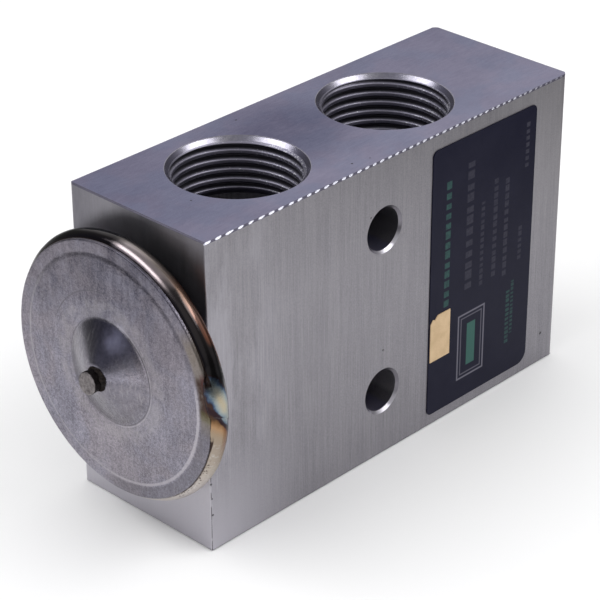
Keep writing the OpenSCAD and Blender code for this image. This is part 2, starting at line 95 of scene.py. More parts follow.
def addCamera(place):
    data = bpy.data.cameras.new("camera")
    data.lens = place["lens"]
    data.sensor_width = place["sensor"]
    data.clip_start = 0.01
    turn, tilt, roll = (math.radians(place[key]) for key in ("azimuth", "elevation", "roll"))
    back = Vector((math.sin(turn) * math.cos(tilt), -math.cos(turn) * math.cos(tilt), math.sin(tilt)))
    right = Vector((math.cos(turn), math.sin(turn), 0))
    above = back.cross(right)
    side = right * math.cos(roll) + above * math.sin(roll)
    upward = above * math.cos(roll) - right * math.sin(roll)
    matrix = Matrix((side, upward, back)).transposed().to_4x4()
    matrix.translation = place["place"]
    camera = bpy.data.objects.new("camera", data)
    camera.matrix_world = matrix
    bpy.context.scene.collection.objects.link(camera)
    bpy.context.scene.camera = camera


addCamera(cameraPlace)
bpy.context.scene.view_settings.view_transform = "Standard"
print("camera placed")


# Small helpers for node trees
class Wire:
    # A node's output that sums can be written with: each adds a Math node to its tree
    def __init__(self, socket):
        self.socket = socket
        self.id_data = socket.id_data

    def __add__(self, other):
        return calc("ADD", self, other)

    def __radd__(self, other):
        return calc("ADD", other, self)

    def __sub__(self, other):
        return calc("SUBTRACT", self, other)

    def __rsub__(self, other):
        return calc("SUBTRACT", other, self)

    def __mul__(self, other):
        return calc("MULTIPLY", self, other)

    def __rmul__(self, other):
        return calc("MULTIPLY", other, self)

    def __truediv__(self, other):
        return calc("DIVIDE", self, other)

    def __rtruediv__(self, other):
        return calc("DIVIDE", other, self)

    def __abs__(self):
        return calc("ABSOLUTE", self)


def treeOf(values):
    return next(value.id_data for value in values if isinstance(value, Wire))


def feed(socket, value):
    if isinstance(value, Wire):
        socket.id_data.links.new(value.socket, socket)
    elif value is not None:
        socket.default_value = value


def newNode(tree, kind, feeds=None, **settings):
    made = tree.nodes.new(kind)
    for key, value in settings.items():
        setattr(made, key, value)
    for key, value in (feeds or {}).items():
        feed(made.inputs[key], value)
    return made


def addNode(tree, kind, feeds=None, out=0, **settings):
    return Wire(newNode(tree, kind, feeds, **settings).outputs[out])


def calc(operation, *values, clamp=False):
    feeds = dict(enumerate(values))
    return addNode(treeOf(values), "ShaderNodeMath", feeds, operation=operation, use_clamp=clamp)


def weighted(shares, *values):
    # The last share is an offset
    *shares, total = shares
    for share, value in zip(shares, values):
        total = value * share + total
    return total


def larger(first, second):
    return calc("MAXIMUM", first, second)


def smaller(first, second):
    return calc("MINIMUM", first, second)


def vectorCalc(operation, first, second=None, result="Vector"):
    feeds = {0: first, "Scale" if operation == "SCALE" else 1: second}
    return addNode(treeOf((first, second)), "ShaderNodeVectorMath", feeds, result, operation=operation)


def splitVector(vector):
    return [Wire(part) for part in newNode(vector.id_data, "ShaderNodeSeparateXYZ", {0: vector}).outputs]


def joinVector(x=0.0, y=0.0, z=0.0):
    return addNode(treeOf((x, y, z)), "ShaderNodeCombineXYZ", {0: x, 1: y, 2: z})


def distanceTo(point, place):
    return vectorCalc("DISTANCE", point, tuple(place), "Value")


def remap(value, low, high, toLow=0.0, toHigh=1.0, kind="SMOOTHSTEP"):
    feeds = {"Value": value, "From Min": low, "From Max": high, "To Min": toLow, "To Max": toHigh}
    return addNode(value.id_data, "ShaderNodeMapRange", feeds, interpolation_type=kind)


def rgba(colour):
    return (*colour, 1.0)


def mixColour(factor, first, second, blend="MIX", clamp=True):
    first, second = (rgba(value) if isinstance(value, tuple) else value for value in (first, second))
    feeds = {0: factor, 6: first, 7: second}
    settings = {"data_type": "RGBA", "blend_type": blend, "clamp_factor": clamp}
    return addNode(treeOf(feeds.values()), "ShaderNodeMix", feeds, 2, **settings)


def mixValue(factor, first, second):
    return addNode(factor.id_data, "ShaderNodeMix", {0: factor, 2: first, 3: second}, data_type="FLOAT")


def stretched(point, scales, turn=(0.0, 0.0, 0.0)):
    feeds = {"Vector": point, "Scale": scales, "Rotation": tuple(math.radians(angle) for angle in turn)}
    return addNode(point.id_data, "ShaderNodeMapping", feeds)


def cloud(point, scale=1.0, detail=2.0, roughness=0.5, distortion=0.0):
    feeds = {"Vector": point, "Scale": scale, "Detail": detail}
    feeds.update(Roughness=roughness, Distortion=distortion)
    return addNode(point.id_data, "ShaderNodeTexNoise", feeds)


def colourRamp(value, stops):
    made = newNode(value.id_data, "ShaderNodeValToRGB", {"Fac": value})
    points = made.color_ramp.elements
    while len(points) < len(stops):
        points.new(1.0)
    for point, (place, colour) in zip(points, stops):
        point.position = place
        point.color = rgba(colour)
    return Wire(made.outputs[0])


def bumped(height, depth, strength):
    # The depth is in millimetres
    feeds = {"Height": height, "Distance": depth * mm, "Strength": strength}
    return addNode(height.id_data, "ShaderNodeBump", feeds)


def newTree(name, kind, outputs, inputs):
    # Inputs are given by their names and starting values, which tell their kinds
    tree = bpy.data.node_groups.new(name, kind)
    socketKinds = {float: "Float", int: "Int", tuple: "Vector", type(None): "Material"}
    for label, start in inputs.items():
        socketKind = "NodeSocket" + socketKinds[type(start)]
        socket = tree.interface.new_socket(name=label, in_out="INPUT", socket_type=socketKind)
        if start is not None:
            socket.default_value = start
    for label, socketKind in outputs:
        tree.interface.new_socket(name=label, in_out="OUTPUT", socket_type="NodeSocket" + socketKind)
    given = [Wire(socket) for socket in tree.nodes.new("NodeGroupInput").outputs if socket.name]
    return tree, tree.nodes.new("NodeGroupOutput").inputs, given


def newGroup(name, outputs, **inputs):
    return newTree(name, "ShaderNodeTree", [(label, "Float") for label in outputs], inputs)


def useGroup(group, **feeds):
    made = newNode(treeOf(feeds.values()), "ShaderNodeGroup", feeds, node_tree=group)
    return {socket.name: Wire(socket) for socket in made.outputs}


def newMaterial(name, colour, roughness, metallic=1.0, **constants):
    # Constants are shader sockets that are the same all over the surface.
    # The point is the place on the part in millimetres, in the part's own frame.
    material = bpy.data.materials.new(name)
    material.use_nodes = True
    tree = material.node_tree
    tree.nodes.clear()
    shader = tree.nodes.new("ShaderNodeBsdfPrincipled")
    output = tree.nodes.new("ShaderNodeOutputMaterial")
    feed(output.inputs["Surface"], Wire(shader.outputs[0]))
    constants.update(Base_Color=rgba(colour), Roughness=roughness, Metallic=metallic)
    for key, value in constants.items():
        shader.inputs[key.replace("_", " ")].default_value = value
    point = vectorCalc("SCALE", addNode(tree, "ShaderNodeTexCoord", out="Object"), 1 / mm)
    return material, point


def paint(material, colour, roughness=None, normal=None):
    # Gives the shader what varies over the surface
    shader = material.node_tree.nodes["Principled BSDF"].inputs
    for name, value in (("Base Color", colour), ("Roughness", roughness), ("Normal", normal)):
        feed(shader[name], value)
    return material


def facing(point):
    return addNode(point.id_data, "ShaderNodeTexCoord", out="Normal")


# Shared effects
def makeBrushedLines():
    # Fine drawn lines along Z, with broad soft bands between them
    tree, out, (point, width, length) = newGroup(
        "brushedLines", ["Lines", "Bands"], Point=(0, 0, 0), Width=0.3, Length=30.0)
    across = 1.0 / width
    along = 1.0 / length
    fine = vectorCalc("MULTIPLY", point, joinVector(across, across, along))
    feed(out["Lines"], cloud(fine, 1.0, 3.0, 0.65))
    broad = vectorCalc("MULTIPLY", fine, (0.13, 0.13, 0.4))
    feed(out["Bands"], cloud(broad, 1.0, 2.0, 0.5, 0.3))
    return tree


def makeMetalGrain():
    # Even speckle of two sizes, with its contrast drawn out
    tree, out, (point, size) = newGroup("metalGrain", ["Fine", "Coarse"], Point=(0, 0, 0), Size=0.12)
    scale = 1.0 / size
    feed(out["Fine"], remap(cloud(point, scale, 1.0), 0.32, 0.68))
    wide = cloud(point, scale * 0.32, 2.0, 0.6, 0.5)
    feed(out["Coarse"], remap(wide, 0.32, 0.68))
    return tree


def makeBlotches():
    # Soft patches with a broken edge, as left by handling and flux
    tree, out, (point, size, cover, edge) = newGroup(
        "blotches", ["Mask"], Point=(0, 0, 0), Size=3.0, Cover=0.5, Edge=0.15)
    scale = 1.0 / size
    pattern = cloud(point, scale, 5.0, 0.62, 0.4)
    low = 1.0 - cover - edge
    high = 1.0 - cover + edge
    feed(out["Mask"], remap(pattern, low, high))
    return tree


def makeScratches():
    # Short hairline scratches in two crossing directions
    tree, out, (point, spacing, amount) = newGroup(
        "hairScratches", ["Mask"], Point=(0, 0, 0), Spacing=0.4, Amount=0.5)
    scale = 1.0 / spacing
    point = vectorCalc("SCALE", point, scale)
    turns = ((37.0, 12.0, 24.0), (-52.0, -20.0, 63.0))
    lines = [cloud(stretched(point, (1.0, 1.0, 0.06), turn)) for turn in turns]
    masks = [remap(line, 0.62, 0.74) for line in lines]
    feed(out["Mask"], larger(*masks) * amount)
    return tree


def makeEdgeWear():
    # 1 on rounded-off edges, 0 on flat faces
    tree, out, (radius,) = newGroup("edgeWear", ["Mask"], Radius=0.0003)
    soft = addNode(tree, "ShaderNodeBevel", {"Radius": radius}, samples=6)
    plain = addNode(tree, "ShaderNodeNewGeometry", out="Normal")
    same = vectorCalc("DOT_PRODUCT", soft, plain, "Value")
    feed(out["Mask"], remap(same, 0.99, 0.86))
    return tree


def makeSpot():
    # A round mark at one place
    tree, out, (point, centre, radius) = newGroup(
        "spotMark", ["Mask"], Point=(0, 0, 0), Centre=(0, 0, 0), Radius=0.5)
    wobble = cloud(point, 2.5, 2.0) * 0.5
    reach = vectorCalc("DISTANCE", point, centre, "Value") / radius + wobble
    feed(out["Mask"], remap(reach, 1.25, 0.7))
    return tree


def makeRimAngle():
    # Distance from the power head's axis, and degrees round it, 0 at the top and 90 at the label's side
    tree, out, (point, height) = newGroup(
        "rimAngle", ["Degrees", "Radius"], Point=(0, 0, 0), Height=axisHeight / mm)
    across, up = splitVector(point)[1:]
    side = across * -1.0
    rise = up - height
    angle = calc("DEGREES", calc("ARCTAN2", side, rise))
    feed(out["Degrees"], calc("WRAP", angle, 360.0, 0.0))
    feed(out["Radius"], vectorCalc("LENGTH", joinVector(side, rise), None, "Value"))
    return tree


def makeArcBand():
    # 1 between two angles, with soft ends
    tree, out, (degrees, start, end, soft) = newGroup(
        "arcBand", ["Mask"], Degrees=0.0, Start=0.0, End=10.0, Soft=3.0)
    rise = remap(degrees, start - soft, start)
    fall = remap(degrees, end + soft, end)
    feed(out["Mask"], rise * fall)
    return tree


def makePrintedBar():
    # A printed rectangle on the label, from its middle and half sizes along the block and upwards
    tree, out, (point, middle, half, soft) = newGroup(
        "printedBar", ["Mask"], Point=(0, 0, 0), Middle=(0, 0, 0), Half=(1, 1, 1), Soft=0.08)
    away = vectorCalc("ABSOLUTE", vectorCalc("SUBTRACT", point, middle))
    past = splitVector(vectorCalc("SUBTRACT", away, half))
    outside = larger(past[0], past[2])
    feed(out["Mask"], remap(outside, soft, soft * -1.0))
    return tree


squareOn = (0.80, 0.95)  # a face counts as turned to an axis between these shares of its normal
brushedLines = makeBrushedLines()
metalGrain = makeMetalGrain()
blotches = makeBlotches()
hairScratches = makeScratches()
edgeWear = makeEdgeWear()
spotMark = makeSpot()
rimAngle = makeRimAngle()
arcBand = makeArcBand()
printedBar = makePrintedBar()


def patches(point, size, cover, edge):
    return useGroup(blotches, Point=point, Size=size, Cover=cover, Edge=edge)["Mask"]


def arcMask(place, start, end, soft):
    return useGroup(arcBand, Degrees=place["Degrees"], Start=start, End=end, Soft=soft)["Mask"]


def wornEdges(point, radius=0.25):
    return addNode(point.id_data, "ShaderNodeGroup", {"Radius": radius * mm}, node_tree=edgeWear)


print("shared effects made")


# Aluminium block
blockFinish = {
    "side": (0.230, 0.222, 0.246),
    "sideLight": (0.372, 0.358, 0.384),
    # the top's colours are darker and bluer than the sides', as painted shade
    "top": (0.236, 0.223, 0.320),
    "topLight": (0.346, 0.326, 0.440),
    "haze": (0.475, 0.46, 0.505),
    "oily": (0.82, 0.97, 1.02),  # tint of the oily patches on the top
    "pit": (0.030, 0.028, 0.030),
    "burnished": (0.52, 0.52, 0.59),
    "edgeShade": (0.085, 0.080, 0.110),  # painted shade between the highlight dashes and on the broken edges
    "chamfer": (0.62, 0.60, 0.66),
    "chamferShade": (0.20, 0.19, 0.215),
    "sideGrain": (0.50, 0.16, 0.50, 0.12, -0.09),  # shares of lines, bands, speckle and stains, and offset
    "topGrain": (0.34, 0.30, 0.32, -0.17),  # shares of speckle, milling and stains, and offset
    "hazeSpan": (-17.0, -36.0),  # places along the block between which the haze grows towards the head
    "dullPatch": (-6.0, 3.0, 48.5, 15.0),  # place and radius of the darker patch between the ports
    "brokenEdge": 0.23,  # width of the broken edges round the top and the foot, painted in shade
    "holeChamfer": 0.85,  # width of the mounting holes' chamfers
    "tornLine": (0.13, 13.75),  # width and height of the torn line down the near corner's foot
    "lineWidth": 0.13,
    "lineLength": 11.0,
    "grain": 0.12,  # size of the finest grain in millimetres
    "pits": [  # place along, across and up in millimetres, and radius
        (-2.96, -13.35, 17.75, 0.20), (34.23, -13.35, 5.18, 0.34), (-5.96, -13.35, 40.38, 0.17),
        (29.9, -13.35, 30.6, 0.14), (-30.64, -2.97, 48.5, 0.18), (-7.36, -10.93, 48.5, 0.22),
        (-8.25, 10.94, 48.5, 0.20), (-4.31, -11.53, 48.5, 0.15), (-38.08, -13.35, 11.1, 0.26),
        (-37.9, -13.35, 8.7, 0.16), (-37.84, -13.35, 6.0, 0.22), (-38.0, -13.35, 13.6, 0.13),
    ],
    "dashReach": 0.21,  # how far the dashes of painted highlight spread from the upper front edge
    "dashSpacing": (2.15, 1.15),  # at the head end and at the adjuster end
    "dashHalf": (0.31, 0.23),  # half length as a share of the spacing, and half width in millimetres
}


def highlightDashes(point, finish):
    # Dashes of painted highlight along the upper front edge
    x, y, z = splitVector(point)
    offFront = y - blockLow.y / mm
    offTop = blockHigh.z / mm - z
    off = larger(offFront, offTop)
    nearEdge = remap(off, finish["dashReach"] + 0.04, finish["dashReach"] - 0.04)
    near, far = finish["dashSpacing"]
    run = x - blockLow.x / mm
    length = (blockHigh.x - blockLow.x) / mm
    growth = (1 / far - 1 / near) / (2 * length)
    turns = run * (run * growth + 1 / near)
    wander = cloud(joinVector(run), 0.4, 1.0) * 0.6
    along = calc("FRACT", turns + wander) - 0.5
    over = offFront - offTop
    across = along * -0.35 + (over - 0.03)
    halfLength, halfWidth = finish["dashHalf"]
    grown = run * -0.0045 + 1.0
    reach = vectorCalc("LENGTH", joinVector(along / halfLength, across / halfWidth / grown), None, "Value")
    ragged = cloud(point, 4.0, 2.0) * 0.5 - 0.25
    dash = remap(reach + ragged, 1.10, 0.85)
    fade = remap(run, length - 2.0, length - 16.0, 0.30, 1.0)
    close = remap(off, finish["dashReach"] + 0.20, finish["dashReach"] + 0.12)
    return dash * fade * close, nearEdge


def makeBlockMaterial(finish):
    material, point = newMaterial("blockAluminium", finish["side"], 0.42)
    moved = vectorCalc("ADD", point, (13.7, 4.0, 21.0))
    drawn = useGroup(brushedLines, Point=moved, Width=finish["lineWidth"], Length=finish["lineLength"])
    speckle = useGroup(metalGrain, Point=point, Size=finish["grain"])
    lines = remap(drawn["Lines"], 0.34, 0.66)
    bands = remap(drawn["Bands"], 0.34, 0.66)
    stained = patches(point, 9.0, 0.5, 0.22)
    grain = weighted(finish["sideGrain"], lines, bands, speckle["Fine"], stained)
    along, across, height = splitVector(point)
    # Painted light and shade by height: the head's end is paler low down and darker high up and at its far corner
    xFacing, yFacing, zFacing = (abs(part) for part in splitVector(facing(point)))
    onEnd = remap(xFacing, *squareOn)
    farCornerShade = remap(height, 30.0, 44.0) * remap(across, 3.0, 12.0)
    onEndPaintedLight = farCornerShade * -0.45 + remap(height, 44.0, 8.0, -0.26, 1.22)
    # The other sides are painted a little darker low down, and paler high up towards the adjuster's end
    paintedLight = mixValue(onEnd, remap(height, 45.0, 5.0, 0.03, -0.20), onEndPaintedLight)
    farSide = remap(along, 12.0, 34.0) * remap(height, 12.0, 42.0, -0.15, 0.75)
    paintedLight = paintedLight + farSide
    calm = onEnd * remap(height, 20.0, 34.0, 0.0, 0.80)
    grain = mixValue(calm, grain, 0.38) + paintedLight
    side = mixColour(grain, finish["side"], finish["sideLight"], clamp=False)
    # A pale haze spreads from the head's end, and low down there is a painted reflection of the floor
    hazy = cloud(stretched(point, (0.22, 0.20, 0.065)), 1.0, 5.0, 0.72)
    haze = remap(along, *finish["hazeSpan"]) * remap(hazy, 0.36, 0.64)
    haze = haze * (lines * 0.7 + 0.6) * (1.0 - onEnd * 0.70)
    lowReflection = remap(along, -16.0, -38.0) * remap(height, 20.0, 0.0)
    haze = larger(haze * 0.54, lowReflection * 0.96)
    side = mixColour(haze, side, finish["haze"])
    # The top is milled and stained with oil, and its colours are darker and bluer as painted shade
    milled = cloud(stretched(point, (0.6, 3.5, 1.0)), 1.0, 4.0, 0.7)
    shade = weighted(finish["topGrain"], speckle["Fine"], remap(milled, 0.3, 0.7), stained)
    # Painted shade towards the head's end and painted light towards the front, and a darker patch between the
    # ports
    shade = shade + remap(along, -38.0, -8.0, -0.62, -0.36) + remap(across, 6.0, -12.0, -0.20, 0.24)
    *place, reach = finish["dullPatch"]
    shade = shade + remap(distanceTo(point, place), reach, 4.0, 0.0, -0.75)
    top = mixColour(shade, finish["top"], finish["topLight"], clamp=False)
    oily = remap(cloud(point, 0.16, 3.0, 0.55), 0.42, 0.62, 0.0, 0.45)
    top = mixColour(oily, top, finish["oily"], "MULTIPLY")
    onTop = remap(zFacing, *squareOn)
    colour = mixColour(onTop, side, top)
    # Chamfers of the two mounting holes, with a painted highlight low on each and painted shade above it
    holes = mounts["mounting_holes"]
    holeX, holeZ = holes["pos_m"][0] / mm, holes["pos_m"][2] / mm
    rise = abs(height - holeZ) - holes["dims"]["spacing_y_mm"] / 2
    fromHole = vectorCalc("LENGTH", joinVector(along - holeX, rise), None, "Value")
    upward = rise * calc("SIGN", height - holeZ)
    slopeLitAndShaded = mixColour(remap(upward, -2.8, -0.8), finish["chamfer"], finish["chamferShade"])
    outside = holes["dims"]["hole_r_mm"] + finish["holeChamfer"]
    sloped = remap(fromHole, outside + 0.05, outside - 0.05)
    sloped = sloped * remap(abs(yFacing - 0.707), 0.16, 0.06)
    colour = mixColour(sloped, colour, slopeLitAndShaded)
    # Broken edges round the top and the foot, painted in shade
    middleZ = (blockLow.z + blockHigh.z) / 2 / mm

    def nearRim(away, end):
        inner = end - finish["brokenEdge"]
        return remap(away, inner - 0.03, inner + 0.03)

    rimX = nearRim(abs(along), blockHigh.x / mm)
    rimY = nearRim(abs(across), blockHigh.y / mm)
    broken = nearRim(abs(height - middleZ), middleZ) * larger(rimX, rimY)
    colour = mixColour(broken * 0.90, colour, finish["edgeShade"])
    # Pits, and edges worn bright, which also paints a highlight along them
    pits = 0.0
    for *centre, radius in finish["pits"]:
        pits = larger(pits, useGroup(spotMark, Point=point, Centre=tuple(centre), Radius=radius)["Mask"])
    wear = wornEdges(point) * (0.30 - broken * 0.30)
    colour = mixColour(wear, colour, finish["sideLight"])
    colour = mixColour(pits * 0.85, colour, finish["pit"])
    # Torn line down the near corner's foot
    offCorner = larger(along - blockLow.x / mm, across - blockLow.y / mm)
    width, top = finish["tornLine"]
    tornLine = remap(offCorner, width + 0.04, width - 0.04) * remap(height, top + 1.75, top - 1.75)
    tornLine = tornLine * remap(cloud(stretched(point, (2.0, 2.0, 0.9)), 1.0, 3.0, 0.7), 0.44, 0.52)
    colour = mixColour(tornLine * 0.85, colour, finish["pit"])
    dashes, nearEdge = highlightDashes(point, finish)
    colour = mixColour(nearEdge * 0.85, colour, finish["edgeShade"])
    colour = mixColour(dashes, colour, finish["burnished"])
    plain = mixValue(onTop, lines * 0.10 + 0.36, 0.46)
    bright = larger(dashes, sloped)
    roughness = mixValue(bright, plain, 0.28)
    relief = mixValue(onTop, drawn["Lines"], milled) - pits * 3.0
    return paint(material, colour, roughness, bumped(relief, 0.02, 0.6))


# Threads, darker between their turns where oil and swarf stay, and with shade painted there too
threadFinish = {
    "crest": (0.42, 0.405, 0.50),
    # the colour between the turns, also used for the painted shade
    "groove": (0.070, 0.067, 0.083),
    "burr": (0.85, 0.85, 0.88),
    "chamfer": (0.44, 0.425, 0.49),
    "chamferShade": (0.225, 0.215, 0.29),
    "chamferDepth": 0.62,
    "shadeSide": (0.69, -0.72, 0.0),  # both ends of this direction are painted in shade
}


def makeThreadMaterial(finish):
    material, point = newMaterial("tappedAluminium", finish["crest"], 0.36)
    depth = addNode(point.id_data, "ShaderNodeAttribute", out="Fac", attribute_name="groove")
    grime = cloud(point, 1.3, 4.0, 0.6)
    dark = remap(grime * 0.3 + depth, 0.20, 0.80)
    middle = (blockLow.z + blockHigh.z) / 2 / mm
    off = abs(splitVector(point)[2] - middle)
    edge = (blockHigh.z - blockLow.z) / 2 / mm - finish["chamferDepth"]
    onChamfer = remap(off, edge - 0.06, edge + 0.02)
    colour = mixColour(dark, finish["crest"], finish["groove"])
    # Painted shade towards both ends of the shaded side's direction, on the thread and its chamfer
    turnedTo = vectorCalc("DOT_PRODUCT", facing(point), finish["shadeSide"], "Value")
    sideways = abs(turnedTo)
    colour = mixColour(remap(sideways, 0.35, 0.85, 0.0, 0.55), colour, finish["groove"])
    # Painted shade in the middle of the far wall, and torn crests glint beside it
    colour = mixColour(remap(sideways, 0.62, 0.12, 0.0, 0.42), colour, finish["groove"])
    torn = remap(turnedTo, -0.18, -0.42)
    burrs = torn * 0.10 + cloud(point, 3.4, 3.0, 0.7)
    burrs = remap(burrs, 0.64, 0.70) * remap(depth, 0.60, 0.25)
    colour = mixColour(burrs * 0.8, colour, finish["burr"])
    rubbed = cloud(point, 2.2, 4.0, 0.7)
    slope = mixColour(remap(sideways, 0.46, 0.66), finish["chamfer"], finish["chamferShade"])
    slope = mixColour(remap(rubbed, 0.40, 0.62, 0.0, 0.35), slope, finish["chamferShade"])
    colour = mixColour(onChamfer, colour, slope)
    roughness = mixValue(onChamfer, grime * 0.20 + 0.40, 0.27)
    relief = cloud(point, 9.0, 3.0, 0.6) * mixValue(onChamfer, 1.0, 0.06)
    return paint(material, colour, roughness, bumped(relief, 0.03, 0.5))


# Stainless power head
headFinish = {
    "steelDark": (0.080, 0.076, 0.104),
    "steelLight": (0.384, 0.369, 0.438),
    "warm": (1.06, 1.0, 0.93),  # tint of the warmer patches
    "worn": (0.42, 0.395, 0.41),
    "smudge": (0.105, 0.100, 0.115),
    "stain": (0.062, 0.034, 0.026),
    "straw": (0.21, 0.175, 0.125),
    "scorched": (0.085, 0.030, 0.028),
    "olive": (0.150, 0.140, 0.060),
    # colour of the painted highlights on the step and on the lip beside the crease
    "stepLine": (0.56, 0.53, 0.57),
    "grain": (0.30, 0.24, -0.27),  # shares of fine and coarse speckle, and offset
    "clouds": (0.16, 0.17, 0.12, 0.0),  # shares of small and large patches and of streaks, and offset
    "stepRadius": 16.9,
    "creaseRadius": 7.92,
    "coneRadius": 7.85,
    "haloRadius": 9.3,  # the rubbed ring round the cone's foot
    "weldSmear": (16.9, 17.7),  # radii between which the weld's brown smear grows
    # colour of the painted highlight on the cone
    "haze": (0.60, 0.585, 0.70),
    "coneHaze": (-44.8, -2.1, 32.3, 2.8),  # place and radius of the painted highlight on the cone
    "coneShade": (-45.2, 2.6, 31.8, 4.0),  # and of the painted shade beside it
    "drawnCircle": 11.8,  # radius of the faint line round the cone
}


def makeHeadMaterial(finish):
    material, point = newMaterial("pressedStainless", finish["steelLight"], 0.34)
    place = useGroup(rimAngle, Point=point)
    radius = place["Radius"]

    def arc(start, end, soft):
        return arcMask(place, start, end, soft)

    def ring(middle, half, soft):
        away = abs(radius - middle)
        return remap(away, half + soft, half)

    speckle = useGroup(metalGrain, Point=point, Size=0.14)
    scratches = useGroup(hairScratches, Point=point, Spacing=0.16, Amount=1.0)["Mask"]
    grain = weighted(finish["grain"], speckle["Fine"], speckle["Coarse"])
    streaked = cloud(stretched(point, (1.0, 1.3, 0.16), (18.0, 0.0, 0.0)), 1.0, 4.0, 0.6)
    small, large = patches(point, 3.4, 0.5, 0.14), patches(point, 12.0, 0.5, 0.16)
    clouds = weighted(finish["clouds"], small, large, remap(streaked, 0.36, 0.64))
    low = remap(splitVector(point)[2], 43.0, 15.0)
    shade = grain * mixValue(low, 0.60, 1.32) + clouds + mixValue(low, -0.02, 0.34)
    step = finish["stepRadius"]
    outside, inside = (remap(radius, step, step + run) for run in (0.4, -0.6))
    shade = shade + arc(44.0, 72.0, 16.0) * 0.15
    shade = shade + (arc(300.0, 358.0, 14.0) * outside - arc(335.0, 359.0, 12.0) * inside) * 0.12
    colour = mixColour(shade, finish["steelDark"], finish["steelLight"], clamp=False)
    colour = mixColour(patches(point, 8.0, 0.5, 0.12) * 0.8, colour, finish["warm"], "MULTIPLY")
    # The lower right of the plate and the cone's lee side are rubbed bright
    rubbed = arc(95.0, 175.0, 40.0) * remap(radius, 16.8, 3.0, 0.25, 0.35) * (scratches * 0.5 + 0.32)
    colour = mixColour(rubbed, colour, finish["worn"])
    colour = mixColour(scratches * 0.22, colour, finish["worn"])
    # The step is painted with a highlight below and with shade above, and the rim is darker on the lower right
    worn = arc(84.0, 172.0, 24.0) * 0.30 + arc(84.0, 300.0, 12.0) * 0.24
    colour = mixColour(ring(step, 0.12, 0.18) * worn, colour, finish["stepLine"])
    stepShade = ring(step, 0.20, 0.30) * larger(arc(290.0, 359.0, 30.0), arc(0.0, 60.0, 25.0))
    colour = mixColour(stepShade * 0.16, colour, finish["smudge"])
    darkerRim = remap(radius, 17.15, 17.45) * arc(88.0, 178.0, 12.0)
    colour = mixColour(darkerRim * 0.38, colour, finish["smudge"])
    # A rubbed halo round the cone's foot, and specks of dirt, more of them low down
    halo = ring(finish["haloRadius"], 0.7, 1.3) * remap(cloud(point, 0.5, 3.0), 0.35, 0.6)
    colour = mixColour(halo * 0.30, colour, finish["worn"])
    specks = patches(point, 0.55, 0.37, 0.05) * mixValue(low, 0.16, 0.46)
    colour = mixColour(specks, colour, finish["smudge"])
    # Darker lines in the crease at the cone's foot and in a faint drawn circle, and the marks on the cone
    crease = ring(finish["creaseRadius"], 0.05, 0.10) * 0.55
    drawn = ring(finish["drawnCircle"], 0.04, 0.11) * arc(300.0, 359.0, 16.0) * 0.55
    colour = mixColour(larger(crease, drawn), colour, finish["smudge"])
    # A painted highlight on the cone, and painted shade beside it
    *middle, reach = finish["coneHaze"]
    hazy = reach + 1.5 - distanceTo(point, middle) - cloud(point, 0.45, 3.0, 0.6) * 3.0
    colour = mixColour(remap(hazy, 0.0, reach), colour, finish["haze"])
    *middle, reach = finish["coneShade"]
    colour = mixColour(remap(distanceTo(point, middle), reach, 0.5, 0.0, 0.60), colour, finish["smudge"])
    # Painted shade over most of the cone, with strokes rubbed into it
    shadedCone = arc(88.0, 345.0, 14.0) * remap(radius, 8.0, 7.4)
    colour = mixColour(shadedCone * 0.42, colour, finish["smudge"])
    strokes = cloud(stretched(point, (1.0, 3.2, 0.55), (-38.0, 0.0, 0.0)), 1.0, 3.0, 0.6)
    colour = mixColour(remap(strokes, 0.54, 0.66) * shadedCone * 0.30, colour, finish["worn"])
    # A painted highlight on the lip beside the crease
    brightLip = ring(finish["creaseRadius"] + 0.24, 0.04, 0.10) * arc(20.0, 165.0, 15.0)
    colour = mixColour(brightLip * 0.35, colour, finish["stepLine"])
    # Brown smear where the weld ends
    nearRim = remap(radius, *finish["weldSmear"])
    ragged = remap(cloud(point, 0.8, 4.0, 0.65), 0.30, 0.52)
    colour = mixColour(arc(60.0, 90.0, 12.0) * nearRim * 0.60, colour, finish["straw"])
    stain = arc(74.0, 87.0, 5.0) * nearRim * (ragged * 0.5 + 0.5)
    colour = mixColour(stain * 0.90, colour, finish["stain"])
    rimEdge = remap(radius, 18.0, 18.6) * arc(73.0, 86.0, 5.0)
    colour = mixColour(rimEdge * 0.80, colour, finish["scorched"])
    colour = mixColour(arc(88.0, 90.5, 2.5) * nearRim * 0.45, colour, finish["olive"])
    # The punch leaves the cone smoother than the plate
    onCone = remap(radius, finish["coneRadius"] + 0.25, finish["coneRadius"] - 0.25)
    dull = patches(point, 3.4, 0.5, 0.16) * 0.10 + 0.32
    roughness = mixValue(onCone, mixValue(stain, dull, 0.55), 0.23)
    relief = cloud(point, 0.35, 3.0, 0.5) * 3.0 + speckle["Coarse"] - scratches * 0.8
    lee = onCone * (1.0 - arc(85.0, 175.0, 25.0))
    relief = relief * mixValue(lee, 1.0, 0.12)
    return paint(material, colour, roughness, bumped(relief, 0.03, 0.7))
